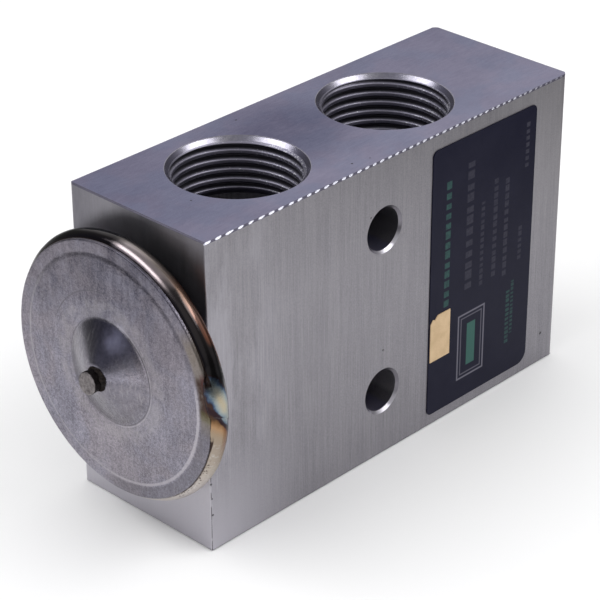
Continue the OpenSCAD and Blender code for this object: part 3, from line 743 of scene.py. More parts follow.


# Weld bead, with the tints that the heat left round the rim, and painted highlights and dark reflections
beadFinish = {
    "nearPlate": [  # degrees round the rim and the colour on the plate's side of the bead
        (0, (0.030, 0.026, 0.028)), (3, (0.050, 0.044, 0.046)), (8, (0.46, 0.40, 0.41)),
        (28, (0.44, 0.37, 0.375)), (36, (0.055, 0.048, 0.048)), (72, (0.028, 0.026, 0.028)),
        (80, (0.060, 0.035, 0.030)), (91.0, (0.045, 0.028, 0.022)), (93.5, (0.21, 0.115, 0.055)),
        (95.5, (0.36, 0.22, 0.12)), (99, (0.31, 0.24, 0.17)), (105, (0.32, 0.265, 0.215)),
        (118, (0.41, 0.36, 0.31)), (132, (0.50, 0.455, 0.43)), (165, (0.50, 0.455, 0.44)),
        (195, (0.28, 0.26, 0.26)), (240, (0.20, 0.185, 0.19)), (300, (0.11, 0.10, 0.105)),
        (335, (0.035, 0.030, 0.032)), (360, (0.030, 0.026, 0.028)),
    ],
    "nearBlock": [  # and on the block's side
        (0, (0.035, 0.032, 0.032)), (9, (0.25, 0.22, 0.20)), (27, (0.25, 0.205, 0.165)),
        (33, (0.27, 0.165, 0.105)), (46, (0.35, 0.215, 0.175)), (56, (0.27, 0.112, 0.070)),
        (60, (0.032, 0.028, 0.028)), (76, (0.032, 0.032, 0.038)), (84, (0.22, 0.22, 0.23)),
        (89, (0.27, 0.28, 0.30)), (92.5, (0.045, 0.028, 0.022)), (94, (0.14, 0.045, 0.022)),
        (97, (0.21, 0.105, 0.045)), (102, (0.23, 0.130, 0.085)), (108, (0.31, 0.235, 0.175)),
        (118, (0.46, 0.40, 0.335)), (132, (0.50, 0.45, 0.415)), (165, (0.46, 0.415, 0.40)),
        (195, (0.22, 0.205, 0.21)), (240, (0.13, 0.115, 0.12)), (300, (0.06, 0.053, 0.056)),
        (340, (0.032, 0.028, 0.030)), (360, (0.035, 0.032, 0.032)),
    ],
    "heat": (84.0, -0.45, 10.5, 1.25, 2.4),  # degrees and lean of the hottest place, and its reach
    "heatRings": [
        (0.00, (0.45, 0.385, 0.265)), (0.20, (0.40, 0.37, 0.29)), (0.42, (0.33, 0.345, 0.315)),
        (0.60, (0.22, 0.270, 0.295)), (0.74, (0.085, 0.125, 0.185)), (0.86, (0.035, 0.040, 0.065)),
        (0.94, (0.045, 0.022, 0.020)), (1.00, (0.028, 0.024, 0.026)),
    ],
    "notch": (92.5, 0.7, 1.9),  # degrees of the burnt line where the weld ends, half width, hard and soft
    "glints": [  # degrees from and to, softness, where across the bead it begins and is full, share, colour
        (32.0, 66.0, 5.0, 0.50, 0.75, 0.7, "copperEdge"), (77.0, 90.0, 4.0, 0.35, 0.60, 0.5, "silver"),
    ],
    "burnt": (0.030, 0.018, 0.022),
    "pit": (0.040, 0.026, 0.022),
    "silver": (0.62, 0.60, 0.59),
    "copperEdge": (0.42, 0.110, 0.030),
}


def makeBeadMaterial(finish):
    material, point = newMaterial("heatTintedWeld", (0.3, 0.25, 0.2), 0.20)
    place = useGroup(rimAngle, Point=point)
    low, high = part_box("rim_weld")
    middle, half = (low.x + high.x) / 2 / mm, (high.x - low.x) / 2 / mm
    lean = (splitVector(point)[0] - middle) / half
    wander = cloud(point, 0.5, 3.0, 0.6) * 4.0 - 2.0
    slanted = place["Degrees"] + wander + lean * -2.6
    turn = slanted / 360.0

    def tintsAndReflections(key):
        return colourRamp(turn, [(at / 360, tint) for at, tint in finish[key]])

    streaks = cloud(stretched(joinVector(place["Degrees"], lean), (0.06, 5.0, 1.0)), 1.0, 3.0, 0.6)

    def arc(start, end, soft):
        return arcMask(place, start, end, soft)

    across = streaks * 0.7 + lean
    # The colours round the rim are heat tints with painted highlights and painted dark reflections among them
    colour = mixColour(remap(across, 0.0, 0.60), tintsAndReflections("nearPlate"), tintsAndReflections("nearBlock"))
    at, side, reach, left, right = finish["heat"]
    ragged = cloud(point, 0.8, 3.0, 0.6) * 0.5 - 0.25
    aside = larger((side - lean) / left, (lean - side) / right)
    steeper = lean * -3.0 + slanted
    heat = joinVector((steeper - at) / reach, aside)
    heat = vectorCalc("LENGTH", heat, None, "Value") + ragged
    at, hard, soft = finish["notch"]
    above = remap(steeper, at + 0.4, at - 0.4)
    tinted = remap(heat, 1.05, 0.85) * above
    colour = mixColour(tinted, colour, colourRamp(heat, finish["heatRings"]))
    notch = remap(abs(steeper - at), soft, hard)
    colour = mixColour(notch * 0.92, colour, finish["burnt"])
    for start, end, soft, inner, outer, share, tint in finish["glints"]:
        glint = arc(start, end, soft) * remap(lean, inner, outer)
        colour = mixColour(glint * share, colour, finish[tint])
    # Below the weld's end the bead is coarse and grainy, with pits beside the plate
    coarse = arc(108.0, 200.0, 12.0)
    grains = patches(point, 0.55, 0.40, 0.10)
    nearPlate = remap(lean, -0.55, -0.80)
    pits = patches(point, 0.38, 0.42, 0.04) * arc(114.0, 140.0, 6.0) * nearPlate
    colour = mixColour(grains * (coarse * 0.35), colour, finish["silver"])
    colour = mixColour(pits * 0.9, colour, finish["pit"])
    # A broken burnt line where the bead meets the plate
    broken = remap(cloud(point, 1.2, 2.0), 0.3, 0.5, 0.4, 1.0)
    seam = remap(lean, -0.93, -0.99) * broken * (1.0 - arc(78.0, 97.0, 4.0))
    colour = mixColour(seam, colour, finish["pit"])
    satin = arc(4.0, 34.0, 10.0) * 0.13 + 0.15
    roughness = coarse * 0.22 + satin
    relief = cloud(point, 3.0, 4.0, 0.6) * (coarse * 0.9 + 0.1)
    return paint(material, colour, roughness, bumped(relief, 0.1, 0.7))


# Filling stub: torn steel end, and the dark crust at its root, which is in part painted shade
stubFinish = {
    "steel": (0.165, 0.150, 0.150),
    "light": (0.29, 0.265, 0.265),
    "burnt": (0.012, 0.009, 0.009),
    "burntMiddle": 50.0,  # degrees round the stub, and half the width of the burnt side, which is painted in shade too
    "burntHalf": 112.5,
}


def makeStubMaterial(finish):
    material, point = newMaterial("shearedStub", finish["steel"], 0.42)
    place = useGroup(rimAngle, Point=point)
    torn = patches(point, 0.5, 0.5, 0.12)
    colour = mixColour(torn, finish["steel"], finish["light"])
    # The side turned to the upper right is burnt dark, with painted shade on it
    onWall = remap(abs(splitVector(facing(point))[0]), 0.75, 0.45)
    turned = calc("WRAP", place["Degrees"] - finish["burntMiddle"], 180.0, -180.0)
    ragged = cloud(point, 1.3, 3.0) * 60.0 - 30.0
    burntShadedSide = remap(abs(turned) + ragged, finish["burntHalf"] + 12.5, finish["burntHalf"] - 12.5)
    burnt = onWall * burntShadedSide
    colour = mixColour(burnt * 0.95, colour, finish["burnt"])
    roughness = torn * 0.12 + 0.36
    return paint(material, colour, roughness, bumped(cloud(point, 4.0, 4.0, 0.7), 0.15, 0.7))


crustFinish = {"light": (0.024, 0.018, 0.015), "dark": (0.008, 0.006, 0.006)}


def makeCrustMaterial(finish):
    material, point = newMaterial("fluxCrust", finish["light"], 0.6, 0.0, Specular_IOR_Level=0.12)
    lumps = cloud(point, 3.0, 4.0, 0.6)
    colour = mixColour(remap(lumps, 0.4, 0.7), finish["dark"], finish["light"])
    return paint(material, colour, None, bumped(lumps, 0.25, 0.8))


# Bought-in steel, turned brass and rubber
boughtColours = {
    "groundSteel": (0.50, 0.50, 0.52),
    "springSteel": (0.42, 0.41, 0.42),
    "brass": (0.56, 0.40, 0.17),
    "brassTarnished": (0.33, 0.21, 0.085),
    "brassWorn": (0.74, 0.60, 0.32),
    "rubber": (0.014, 0.018, 0.015),
    "rubberBloom": (0.055, 0.060, 0.056),
}


def makeSteelMaterial(name, roughness, ringed=False):
    # Ringed steel is ground round the valve axis, so that its lines run round it
    colour = boughtColours[name]
    material, point = newMaterial(name, colour, roughness)
    dusk = tuple(part * 0.55 for part in colour)
    lines = cloud(stretched(point, (14.0, 1.2, 1.2) if ringed else (2.0, 9.0, 9.0)), 1.0, 3.0, 0.6)
    stain = patches(point, 2.4, 0.4, 0.2)
    shade = stain * 0.35 + lines * 0.4
    colour = mixColour(shade, colour, dusk)
    rough = lines * 0.16 + (roughness - 0.06)
    return paint(material, colour, rough, bumped(lines, 0.01, 0.6))


def makeBrassMaterial():
    material, point = newMaterial("turnedBrass", boughtColours["brass"], 0.3)
    place = useGroup(rimAngle, Point=point)
    x = splitVector(point)[0]
    rings = joinVector(place["Radius"] * 7.0, x * 7.0)
    turned = cloud(rings, 1.0, 3.0, 0.6)
    tarnish = patches(point, 4.0, 0.48, 0.2)
    colour = mixColour(tarnish, boughtColours["brass"], boughtColours["brassTarnished"])
    wear = wornEdges(point)
    colour = mixColour(wear * 0.5, colour, boughtColours["brassWorn"])
    roughness = tarnish * 0.16 + 0.24
    return paint(material, colour, roughness, bumped(turned, 0.03, 0.6))


def makeRubberMaterial():
    material, point = newMaterial("oiledRubber", boughtColours["rubber"], 0.42, 0.0)
    bloom = cloud(point, 1.4, 4.0, 0.6)
    colour = mixColour(remap(bloom, 0.4, 0.75), boughtColours["rubber"], boughtColours["rubberBloom"])
    roughness = bloom * 0.30 + 0.30
    return paint(material, colour, roughness, bumped(cloud(point, 12.0, 3.0, 0.7), 0.02, 0.5))


# Label: black film with plain bars and a plain frame that stand for no words
labelLow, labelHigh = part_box("label")
labelPrint = {
    "film": (0.0040, 0.0040, 0.0160),
    "filmWorn": (0.0090, 0.0090, 0.0230),
    "green": (0.040, 0.120, 0.100),
    "grey": (0.060, 0.058, 0.078),
    "pale": (0.150, 0.145, 0.180),
    # Columns of short bars that run up the label: place from its left edge, lower end, upper end,
    # half width, length of a bar with its gap, ink and how much of it is left
    "columns": [
        (3.7, 19.4, 40.2, 0.55, 1.62, "green", 0.55), (8.6, 20.6, 41.6, 0.75, 1.85, "grey", 0.45),
        (11.6, 20.0, 34.0, 0.38, 1.05, "grey", 0.40), (14.5, 20.4, 36.8, 0.45, 1.20, "grey", 0.42),
        (17.1, 19.4, 36.2, 0.45, 1.30, "grey", 0.45), (20.6, 20.8, 27.0, 0.40, 1.00, "grey", 0.40),
        (21.5, 36.2, 43.8, 0.40, 1.10, "grey", 0.55), (18.3, 7.0, 16.4, 0.42, 0.80, "green", 0.42),
        (19.3, 8.6, 17.8, 0.32, 0.70, "green", 0.36),
    ],
    "frameMiddle": (9.7, 10.9),
    "frameHalf": (3.1, 5.6),
    "frameLine": 0.28,
    "innerGap": 0.672,  # from the outer line's edge to the inner line's, which is thinner
    "innerLine": 0.196,
    "frameBar": (0.95, 3.6),
}


def makeLabelMaterial(design):
    material, point = newMaterial("labelFilm", design["film"], 0.34, 0.0, Specular_IOR_Level=0.09)
    origin = (labelLow.x / mm, 0.0, 0.0)
    place = vectorCalc("SUBTRACT", point, origin)
    rubbed = patches(point, 6.0, 0.42, 0.25)
    colour = mixColour(rubbed, design["film"], design["filmWorn"])
    worn = cloud(point, 2.4, 4.0, 0.7)
    along = splitVector(place)[2]

    def bar(middle, half):
        across, reach = (middle[0], 0.0, middle[1]), (half[0], 1.0, half[1])
        return useGroup(printedBar, Point=place, Middle=across, Half=reach)["Mask"]

    for left, low, high, half, step, ink, share in design["columns"]:
        column = bar((left, (low + high) / 2), (half, (high - low) / 2))
        feeds = {"W": calc("FLOOR", along / step) + left}
        length = addNode(point.id_data, "ShaderNodeTexWhiteNoise", feeds, noise_dimensions="1D")
        within = calc("FRACT", along / step)
        inked = remap(within - (length * 0.30 + 0.52), 0.05, -0.05)
        mask = column * inked * remap(worn, 0.25, 0.65, 0.4, 1.0)
        colour = mixColour(mask * share, colour, design[ink])
    middle, half, line = design["frameMiddle"], design["frameHalf"], design["frameLine"]
    outer = bar(middle, half)
    inner = bar(middle, (half[0] - line, half[1] - line))
    rim = outer - inner
    gap, thinner = design["innerGap"], design["innerLine"]
    second = bar(middle, (half[0] - gap, half[1] - gap))
    third = bar(middle, (half[0] - gap - thinner, half[1] - gap - thinner))
    rim = larger(rim, (second - third) * 0.7)
    colour = mixColour(rim * 0.85, colour, design["pale"])
    colour = mixColour(bar(middle, design["frameBar"]) * 0.8, colour, design["green"])
    roughness = rubbed * 0.12 + 0.32
    return paint(material, colour, roughness, bumped(cloud(point, 6.0, 4.0, 0.7), 0.01, 0.6))


tagFinish = {"paper": (0.60, 0.435, 0.262), "soiled": (0.50, 0.352, 0.203)}


def makeTagMaterial(finish):
    material, point = newMaterial("tagPaper", finish["paper"], 0.75, 0.0)
    fibres = cloud(stretched(point, (3.0, 3.0, 9.0), (0.0, 25.0, 0.0)), 1.0, 4.0, 0.7)
    patch = cloud(point, 0.5, 3.0, 0.5)
    shade = patch * 0.6 + fibres * 0.4
    colour = mixColour(remap(shade, 0.35, 0.68), finish["paper"], finish["soiled"])
    return paint(material, colour, None, bumped(fibres, 0.02, 0.6))


finishes = {
    "block": makeBlockMaterial(blockFinish),
    "thread": makeThreadMaterial(threadFinish),
    "head": makeHeadMaterial(headFinish),
    "bead": makeBeadMaterial(beadFinish),
    "stub": makeStubMaterial(stubFinish),
    "crust": makeCrustMaterial(crustFinish),
    "rod": makeSteelMaterial("groundSteel", 0.24, True),
    "spring": makeSteelMaterial("springSteel", 0.32),
    "brass": makeBrassMaterial(),
    "rubber": makeRubberMaterial(),
    "label": makeLabelMaterial(labelPrint),
    "tag": makeTagMaterial(tagFinish),
}
nodeFinishes = {
    "valve_block": "block", "head_base": "head", "head_seal": "rubber", "diaphragm": "spring",
    "diaphragm_pad": "brass", "sensing_rod": "rod", "rod_seal": "rubber", "seal_clip": "spring",
    "push_rod": "rod", "valve_ball": "rod", "ball_carrier": "brass", "damper_spring": "spring",
    "adjusting_screw": "brass", "adjuster_seal": "rubber", "label_tag": "tag",
}
for nodeName, finishName in nodeFinishes.items():
    slots = cadNodes[nodeName].material_slots
    for slot in slots:
        slot.material = finishes[finishName]
print("materials made:", len(finishes))


# Pieces
def addPiece(name, mesh):
    piece = bpy.data.objects.new(name, mesh)
    bpy.context.scene.collection.objects.link(piece)
    return piece


def meshPiece(name, build):
    # Closes a bmesh and makes a piece of it
    bmesh.ops.recalc_face_normals(build, faces=build.faces)
    mesh = bpy.data.meshes.new(name)
    build.to_mesh(mesh)
    build.free()
    return addPiece(name, mesh)


def joinRings(build, rings):
    for first, second in zip(rings, rings[1:]):
        for index in range(len(first)):
            after = (index + 1) % len(first)
            build.faces.new((first[index], first[after], second[after], second[index]))


def finishPiece(piece, finish, body, slotName, *replaced):
    piece.data.materials.clear()
    piece.data.materials.append(finishes[finish])
    if body:
        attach(piece, body)
    if replaced:
        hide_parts(*replaced)


def roundCorners(points, steps=5):
    # points are (radius, place, rounding) round a closed outline
    outline = []
    for index, (radius, place, rounding) in enumerate(points):
        here = Vector((radius, place))
        if rounding == 0:
            outline.append(here)
            continue
        ends = []
        for other in (points[index - 1], points[(index + 1) % len(points)]):
            away = Vector(other[:2]) - here
            ends.append(here + away.normalized() * min(rounding, 0.48 * away.length))
        for step in range(steps + 1):
            share = step / steps
            rest = 1 - share
            outline.append(ends[0] * rest ** 2 + here * 2 * share * rest + ends[1] * share ** 2)
    return outline


def lathe(name, outline, segments, shape):
    # Turns a closed outline of (radius, place along X) in millimetres round the valve axis. The function
    # shape moves each corner by its angle in degrees, which is 0 at the top and 90 at the label's side.
    build = bmesh.new()
    rings = []
    for index in range(segments):
        angle = 2 * math.pi * index / segments
        ring = []
        for corner in outline:
            radius, place = shape(math.degrees(angle), *corner)
            height = axisHeight + math.cos(angle) * radius * mm
            ring.append(build.verts.new((place * mm, -math.sin(angle) * radius * mm, height)))
        rings.append(ring)
    joinRings(build, rings + rings[:1])
    bmesh.ops.remove_doubles(build, verts=build.verts, dist=1e-7)
    piece = meshPiece(name, build)
    for face in piece.data.polygons:
        face.use_smooth = True
    return piece


labelFilm = {
    "corners": (0.9, 2.0, 1.0, 1.0),  # radii from the lower left corner, anticlockwise
    "steps": 8,
    "edge": 0.03,  # how far its cut edge is rounded over
}


def buildLabelFilm(film):
    # A flat plate with four rounded corners, its face turned to -Y
    middle = (labelLow + labelHigh) / 2
    half = (labelHigh - labelLow) / 2
    outline = []
    for index, (sideX, sideZ) in enumerate(((-1, -1), (1, -1), (1, 1), (-1, 1))):
        radius = film["corners"][index] * mm
        for step in range(film["steps"] + 1):
            angle = math.pi + (index + step / film["steps"]) * math.pi / 2
            outline.append((
                sideX * (half.x - radius) + radius * math.cos(angle),
                sideZ * (half.z - radius) + radius * math.sin(angle)))
    edge = film["edge"] * mm
    build = bmesh.new()
    rings = []
    for y, inset in ((labelHigh.y, 0.0), (labelLow.y + edge, 0.0), (labelLow.y, edge)):
        shrinkX, shrinkZ = 1 - inset / half.x, 1 - inset / half.z
        corners = [(middle.x + x * shrinkX, y, middle.z + z * shrinkZ) for x, z in outline]
        rings.append([build.verts.new(corner) for corner in corners])
    joinRings(build, rings)
    build.faces.new(rings[0])
    build.faces.new(rings[-1])
    finishPiece(meshPiece("labelFilm", build), "label", "housing", "label_film", "label")


headPlate = {
    "rimRadius": 19.1,
    "thickness": 1.1,
    "stepRadius": 17.25,
    "stepRun": 0.55,
    "stepRise": 0.16,
    "crown": 0.24,  # how much higher the plate stands at the cone's foot
    "crease": (7.95, 0.04),  # radius and depth of the crease round the cone's foot
    "coneFoot": 7.85,
    "coneTop": 2.0,
    "topRise": 2.95,
    "flare": -0.12,  # 0 for a straight cone, less where its side flattens towards the stub
    "coneSteps": 8,
    "hole": 1.66,
    "dent": 0.030,  # how far the pressed sheet wanders from its true form
    "dentSpan": (2.2, 18.6),  # between these radii
    "facet": 0.7,  # longest step of its outline
}


def plateRise(plate):
    foot = plate["stepRise"] + plate["crown"]
    creaseRadius, creaseDepth = plate["crease"]
    outer = [
        (plate["rimRadius"] - 0.02, 0.0, 0.25), (plate["stepRadius"], 0.0, 0.20),
        (plate["stepRadius"] - plate["stepRun"], plate["stepRise"], 0.20),
        (creaseRadius + 0.22, foot, 0.0), (creaseRadius, foot - creaseDepth, 0.06),
        (plate["coneFoot"] - 0.02, foot, 0.0),
    ]
    for step in range(1, plate["coneSteps"] + 1):
        share = step / plate["coneSteps"]
        climb = share * (1 - plate["flare"]) + plate["flare"] * share * share
        outer.append((
            plate["coneFoot"] + (plate["coneTop"] - plate["coneFoot"]) * share,
            foot + (plate["topRise"] - foot) * climb, 0.3 if share == 1 else 0.0))
    return outer + [(plate["hole"], plate["topRise"], 0.0)]


def buildHeadPlate(plate):
    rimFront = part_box("head_cover")[1].x / mm - plate["thickness"]
    outer = plateRise(plate)
    inner = [(radius, rise - plate["thickness"], rounding) for radius, rise, rounding in reversed(outer)]
    outline = roundCorners([(radius, rimFront - rise, rounding) for radius, rise, rounding in outer + inner])
    dense = []
    for index, corner in enumerate(outline):
        after = outline[(index + 1) % len(outline)]
        parts = max(1, math.ceil((after - corner).length / plate["facet"]))
        dense.extend(corner.lerp(after, step / parts) for step in range(parts))

    start, end = plate["dentSpan"]

    def press(degrees, radius, place):
        angle = math.radians(degrees)
        spot = Vector((math.cos(angle) * radius, math.sin(angle) * radius, 3.7)) * 0.16
        fade = min(1.0, max(0.0, (end - radius) / 1.5)) * min(1.0, max(0.0, (radius - start) / 2.0))
        return radius, place + abs(noise.noise(spot)) * plate["dent"] * 2 * fade

    piece = lathe("headPlate", dense, 240, press)
    finishPiece(piece, "head", "housing", "head_stainless", "head_cover")


rimBead = {
    "height": 0.86,
    "overlapHeight": 0.98,  # where the end of the weld runs over its start
    "overlap": (76.0, 90.0),
    "climb": 8.0,  # degrees over which the overlap rises, and over which the start swells again
    "recovery": 5.0,
    "slant": 1.6,  # degrees that its end leans by per millimetre
    "notch": 0.55,
    "spill": 0.42,  # how far the overlap runs towards the plate
    "lap": (82.0, 9.0, 0.38, 0.85),  # degrees and reach of the end's lap over the plate's rim, depth and run
    "shoulder": 0.42,  # and the weld's start below it
    "embed": 0.25,
    "steps": 18,
}


def buildRimBead(bead):
    low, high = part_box("rim_weld")
    middle, half = (low.x + high.x) / 2 / mm, (high.x - low.x) / 2 / mm
    rimRadius = headPlate["rimRadius"]
    fullHeight = (high.z - axisHeight) / mm - rimRadius
    arcRadius = (half ** 2 + fullHeight ** 2) / (2 * fullHeight)
    spread = math.asin(half / arcRadius)
    outline = [(rimRadius - bead["embed"], middle + half * side) for side in (0.96, -0.96)]
    for step in range(bead["steps"] + 1):
        lean = -spread + 2 * spread * step / bead["steps"]
        outline.append((
            rimRadius + fullHeight - arcRadius * (1 - math.cos(lean)), middle + arcRadius * math.sin(lean)))

    def swell(degrees, radius, place):
        if radius < rimRadius:
            return radius, place
        start, end = bead["overlap"]
        height = bead["height"]
        slant = degrees - (place - middle) * bead["slant"]
        side = (place - middle) / half
        if start - bead["climb"] < slant < end:
            share = min(1.0, (slant - start) / bead["climb"] + 1)
            height += (bead["overlapHeight"] - height) * share * share * (3 - 2 * share)
        elif end <= slant < end + bead["recovery"]:
            share = (slant - end) / bead["recovery"]
            height = bead["notch"] + (height - bead["notch"]) * share * share * (3 - 2 * share)
        angle = math.radians(degrees)
        ripple = noise.noise(Vector((math.cos(angle) * 9.0, math.sin(angle) * 9.0, place * 0.3)))
        height *= 1.0 + 0.03 * ripple
        reach = max(0.0, 1 - ((slant - (start + end) / 2) / (end - start)) ** 2)
        shift = bead["spill"] * reach ** 1.5 * max(0.0, -side) ** 2
        shoulder = max(0.0, 1 - abs(slant - end - 7) / 12)
        shift += bead["shoulder"] * shoulder * max(0.0, -side) ** 2
        lift = 0.35 * reach * max(0.0, -side) ** 3
        at, wide, depth, run = bead["lap"]
        near = max(0.0, 1 - ((slant - at) / wide) ** 2) ** 0.6
        lift -= (0.35 * reach + depth) * near * max(0.0, -side) ** 7
        shift = shift * (1 - near) + run * near * max(0.0, -side) ** 1.5
        return rimRadius + (radius - rimRadius) * min(1.0, height / fullHeight) + lift, place - shift

    piece = lathe("rimBead", outline, 720, swell)
    finishPiece(piece, "bead", "housing", "weld_bead", "rim_weld")


fillStub = {"radius": 1.60, "rough": 0.10, "bend": (0.10, -0.14), "steps": 24, "segments": 72}


def buildFillStub(stub):
    low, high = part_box("charge_stub")
    tip, root = low.x / mm, high.x / mm
    outline = [(0.0, root), (stub["radius"], root)]
    for step in range(1, stub["steps"] + 1):
        outline.append((stub["radius"], root + (tip + 0.22 - root) * step / stub["steps"]))
    shares = (0.97, 0.86, 0.7, 0.55, 0.4, 0.25, 0.12, 0.0)
    outline += [(stub["radius"] * share, tip + 0.15) for share in shares]

    def tear(degrees, radius, place):
        angle = math.radians(degrees)
        side = Vector((math.cos(angle) * radius, math.sin(angle) * radius, place))
        rough = noise.noise(side * 1.7) * stub["rough"] + noise.noise(side * 5.0) * stub["rough"] * 0.4
        ending = min(1.0, max(0.0, (tip + 1.1 - place) / 0.8))
        slope = 0.10 * math.cos(angle) * radius
        grown = radius * (1 + ending * (rough * 0.5 + 0.03))
        return grown, place + ending * (slope + rough * 0.8) * (1 if radius > 0 else 0)

    piece = lathe("fillStub", outline, stub["segments"], tear)
    for vertex in piece.data.vertices:
        share = (root * mm - vertex.co.x) / ((root - tip) * mm)
        vertex.co.y += stub["bend"][0] * share * mm
        vertex.co.z += stub["bend"][1] * share * mm
    finishPiece(piece, "stub", "housing", "head_stainless", "charge_stub")


stubCrust = {"radius": 1.66, "thickness": 0.36, "up": 2.0, "worst": 80, "steps": 18, "segments": 120}


def buildStubCrust(crust):
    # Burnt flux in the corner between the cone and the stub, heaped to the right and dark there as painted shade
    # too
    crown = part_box("head_cover")[0].x / mm
    outline = []
    for step in range(crust["steps"]):
        angle = 2 * math.pi * step / crust["steps"]
        outline.append((
            crust["radius"] + crust["thickness"] * math.cos(angle),
            crown + 0.02 - crust["thickness"] * math.sin(angle)))

    def crumble(degrees, radius, place):
        angle = math.radians(degrees)
        spot = Vector((math.cos(angle) * 2, math.sin(angle) * 2, 1.3))
        towardsWorst = max(0.0, math.cos(angle - math.radians(crust["worst"])))
        heap = 0.34 + 0.50 * noise.noise(spot * 1.4) + 0.62 * towardsWorst
        fine = noise.noise(Vector((radius * 2.5, place * 2.5, degrees * 0.09))) * 0.22
        grow = max(0.30, heap + fine)
        up = crust["up"] if place < crown else 1.0
        inner = crust["radius"] - 0.1
        return inner + (radius - inner) * grow, crown + (place - crown) * grow * up

    piece = lathe("stubCrust", outline, crust["segments"], crumble)
    finishPiece(piece, "crust", "housing", "head_stainless")


buildHeadPlate(headPlate)
buildRimBead(rimBead)
buildFillStub(fillStub)
buildStubCrust(stubCrust)
buildLabelFilm(labelFilm)
print("power head dressed")


# Threads, made by one tree
def dressShape(tree, out, shape, material, **moves):
    # Moves a shape to its place, smooths it, gives it its material and puts it out
    steps = (
        ("GeometryNodeTransform", moves), ("GeometryNodeSetShadeSmooth", {"Shade Smooth": True}),
        ("GeometryNodeRealizeInstances", {}), ("GeometryNodeSetMaterial", {"Material": material}))
    for kind, feeds in steps:
        shape = addNode(tree, kind, {"Geometry": shape, **feeds})
    feed(out["Geometry"], shape)
    return tree


def makeThreadTree():
    # A sleeve whose inner face is the thread: it is a grid rolled round Z, with its mouth at the origin
    tree, out, given = newTree("threadSleeve", "GeometryNodeTree", [("Geometry", "Geometry")], {
        "Root Radius": 0.01, "Crest Radius": 0.00919, "Wall Radius": 0.0103, "Mouth Radius": 0.0102,
        "Pitch": 0.0015, "Length": 0.0123, "Fade": 0.0015, "Crest Width": 0.25, "Lead": 0.0008,
        "Start Turn": 0.0, "Sides": 144, "Steps Per Turn": 18, "Place": (0, 0, 0), "Tilt": (0, 0, 0),
        "Material": None,
    })
    (
        rootRadius, crestRadius, wallRadius, mouthRadius, pitch, length, fade, crestWidth, lead,
        startTurn, sides, stepsPerTurn, place, tilt, material
    ) = given
    rows = calc("CEIL", length / pitch * stepsPerTurn)
    grid = addNode(tree, "GeometryNodeMeshGrid", {
        "Size X": 1.0, "Size Y": 1.0, "Vertices X": sides + 1, "Vertices Y": rows + 4})
    across, down = splitVector(addNode(tree, "GeometryNodeInputPosition"))[:2]
    turn = across + 0.5
    row = calc("ROUND", (down + 0.5) * (rows + 3))
    # The last rows are the sleeve's outer wall and close it at the mouth
    returning = calc("GREATER_THAN", row, rows + 1.5)
    share = smaller(row / rows, 1.0) * (1.0 - returning)
    depth = share * length
    onWall = calc("COMPARE", row, rows + 1.5, 0.9)
    phase = depth / pitch + turn + startTurn
    fromMiddle = abs(calc("FRACT", phase) - 0.5) * 2.0
    groove = remap(fromMiddle, crestWidth, 0.97)
    groove = groove * remap(depth, lead, pitch * 0.3 + lead)
    faded = remap(depth, length - fade, length)
    groove = larger(groove, faded)
    thread = mixValue(groove, crestRadius, rootRadius)
    leadIn = mouthRadius - depth
    inner = larger(thread, leadIn)
    radius = mixValue(onWall, inner, wallRadius)
    angle = turn * (2 * math.pi)
    rolled = joinVector(radius * calc("COSINE", angle), radius * calc("SINE", angle), depth * -1.0)
    span = rootRadius - crestRadius
    sunk = calc("DIVIDE", inner - crestRadius, span, clamp=True)
    cut = calc("GREATER_THAN", leadIn, thread + 0.000005)
    feeds = {"Geometry": grid, "Name": "groove", "Value": mixValue(cut, sunk, 0.0)}
    stored = addNode(tree, "GeometryNodeStoreNamedAttribute", feeds, data_type="FLOAT", domain="POINT")
    shaped = addNode(tree, "GeometryNodeSetPosition", {"Geometry": stored, "Position": rolled})
    joined = addNode(tree, "GeometryNodeMergeByDistance", {"Geometry": shaped, "Distance": 0.000001})
    return dressShape(tree, out, joined, material, Translation=place, Rotation=tilt)


def growPiece(name, tree, values):
    # Runs a tree on an empty mesh and keeps its result as a plain mesh
    piece = addPiece(name, bpy.data.meshes.new(name))
    modifier = piece.modifiers.new("form", "NODES")
    modifier.node_group = tree
    for item in tree.interface.items_tree:
        if item.item_type == "SOCKET" and item.in_out == "INPUT" and item.name in values:
            modifier[item.identifier] = values[item.name]
    evaluated = piece.evaluated_get(bpy.context.evaluated_depsgraph_get())
    mesh = bpy.data.meshes.new_from_object(evaluated)
    piece.modifiers.remove(modifier)
    mesh.name = name
    piece.data = mesh
    return piece


threads = {
    "pitch": 1.5,
    "depth": 0.81,  # from root to crest
    "countersink": 0.22,
    "crestWidth": 0.24,  # share of the pitch that the crest keeps flat
    "lead": 0.62,  # depth of the plain countersink above the first turn
    "skin": 0.015,  # the sleeve lies this far inside the drilled wall
    "wall": 0.3,
    "ports": [  # piece, mount, tapped length, turned over and start of the thread in turns
        ("suctionThreadUpper", "suction_port_top", 9.0, False, 0.97),
        ("outletThread", "outlet_port", 12.3, False, 0.32),
        ("suctionThreadLower", "suction_port_bottom", 12.3, True, 0.15),
        ("inletThread", "inlet_port", 10.8, True, 0.52),
    ],
}


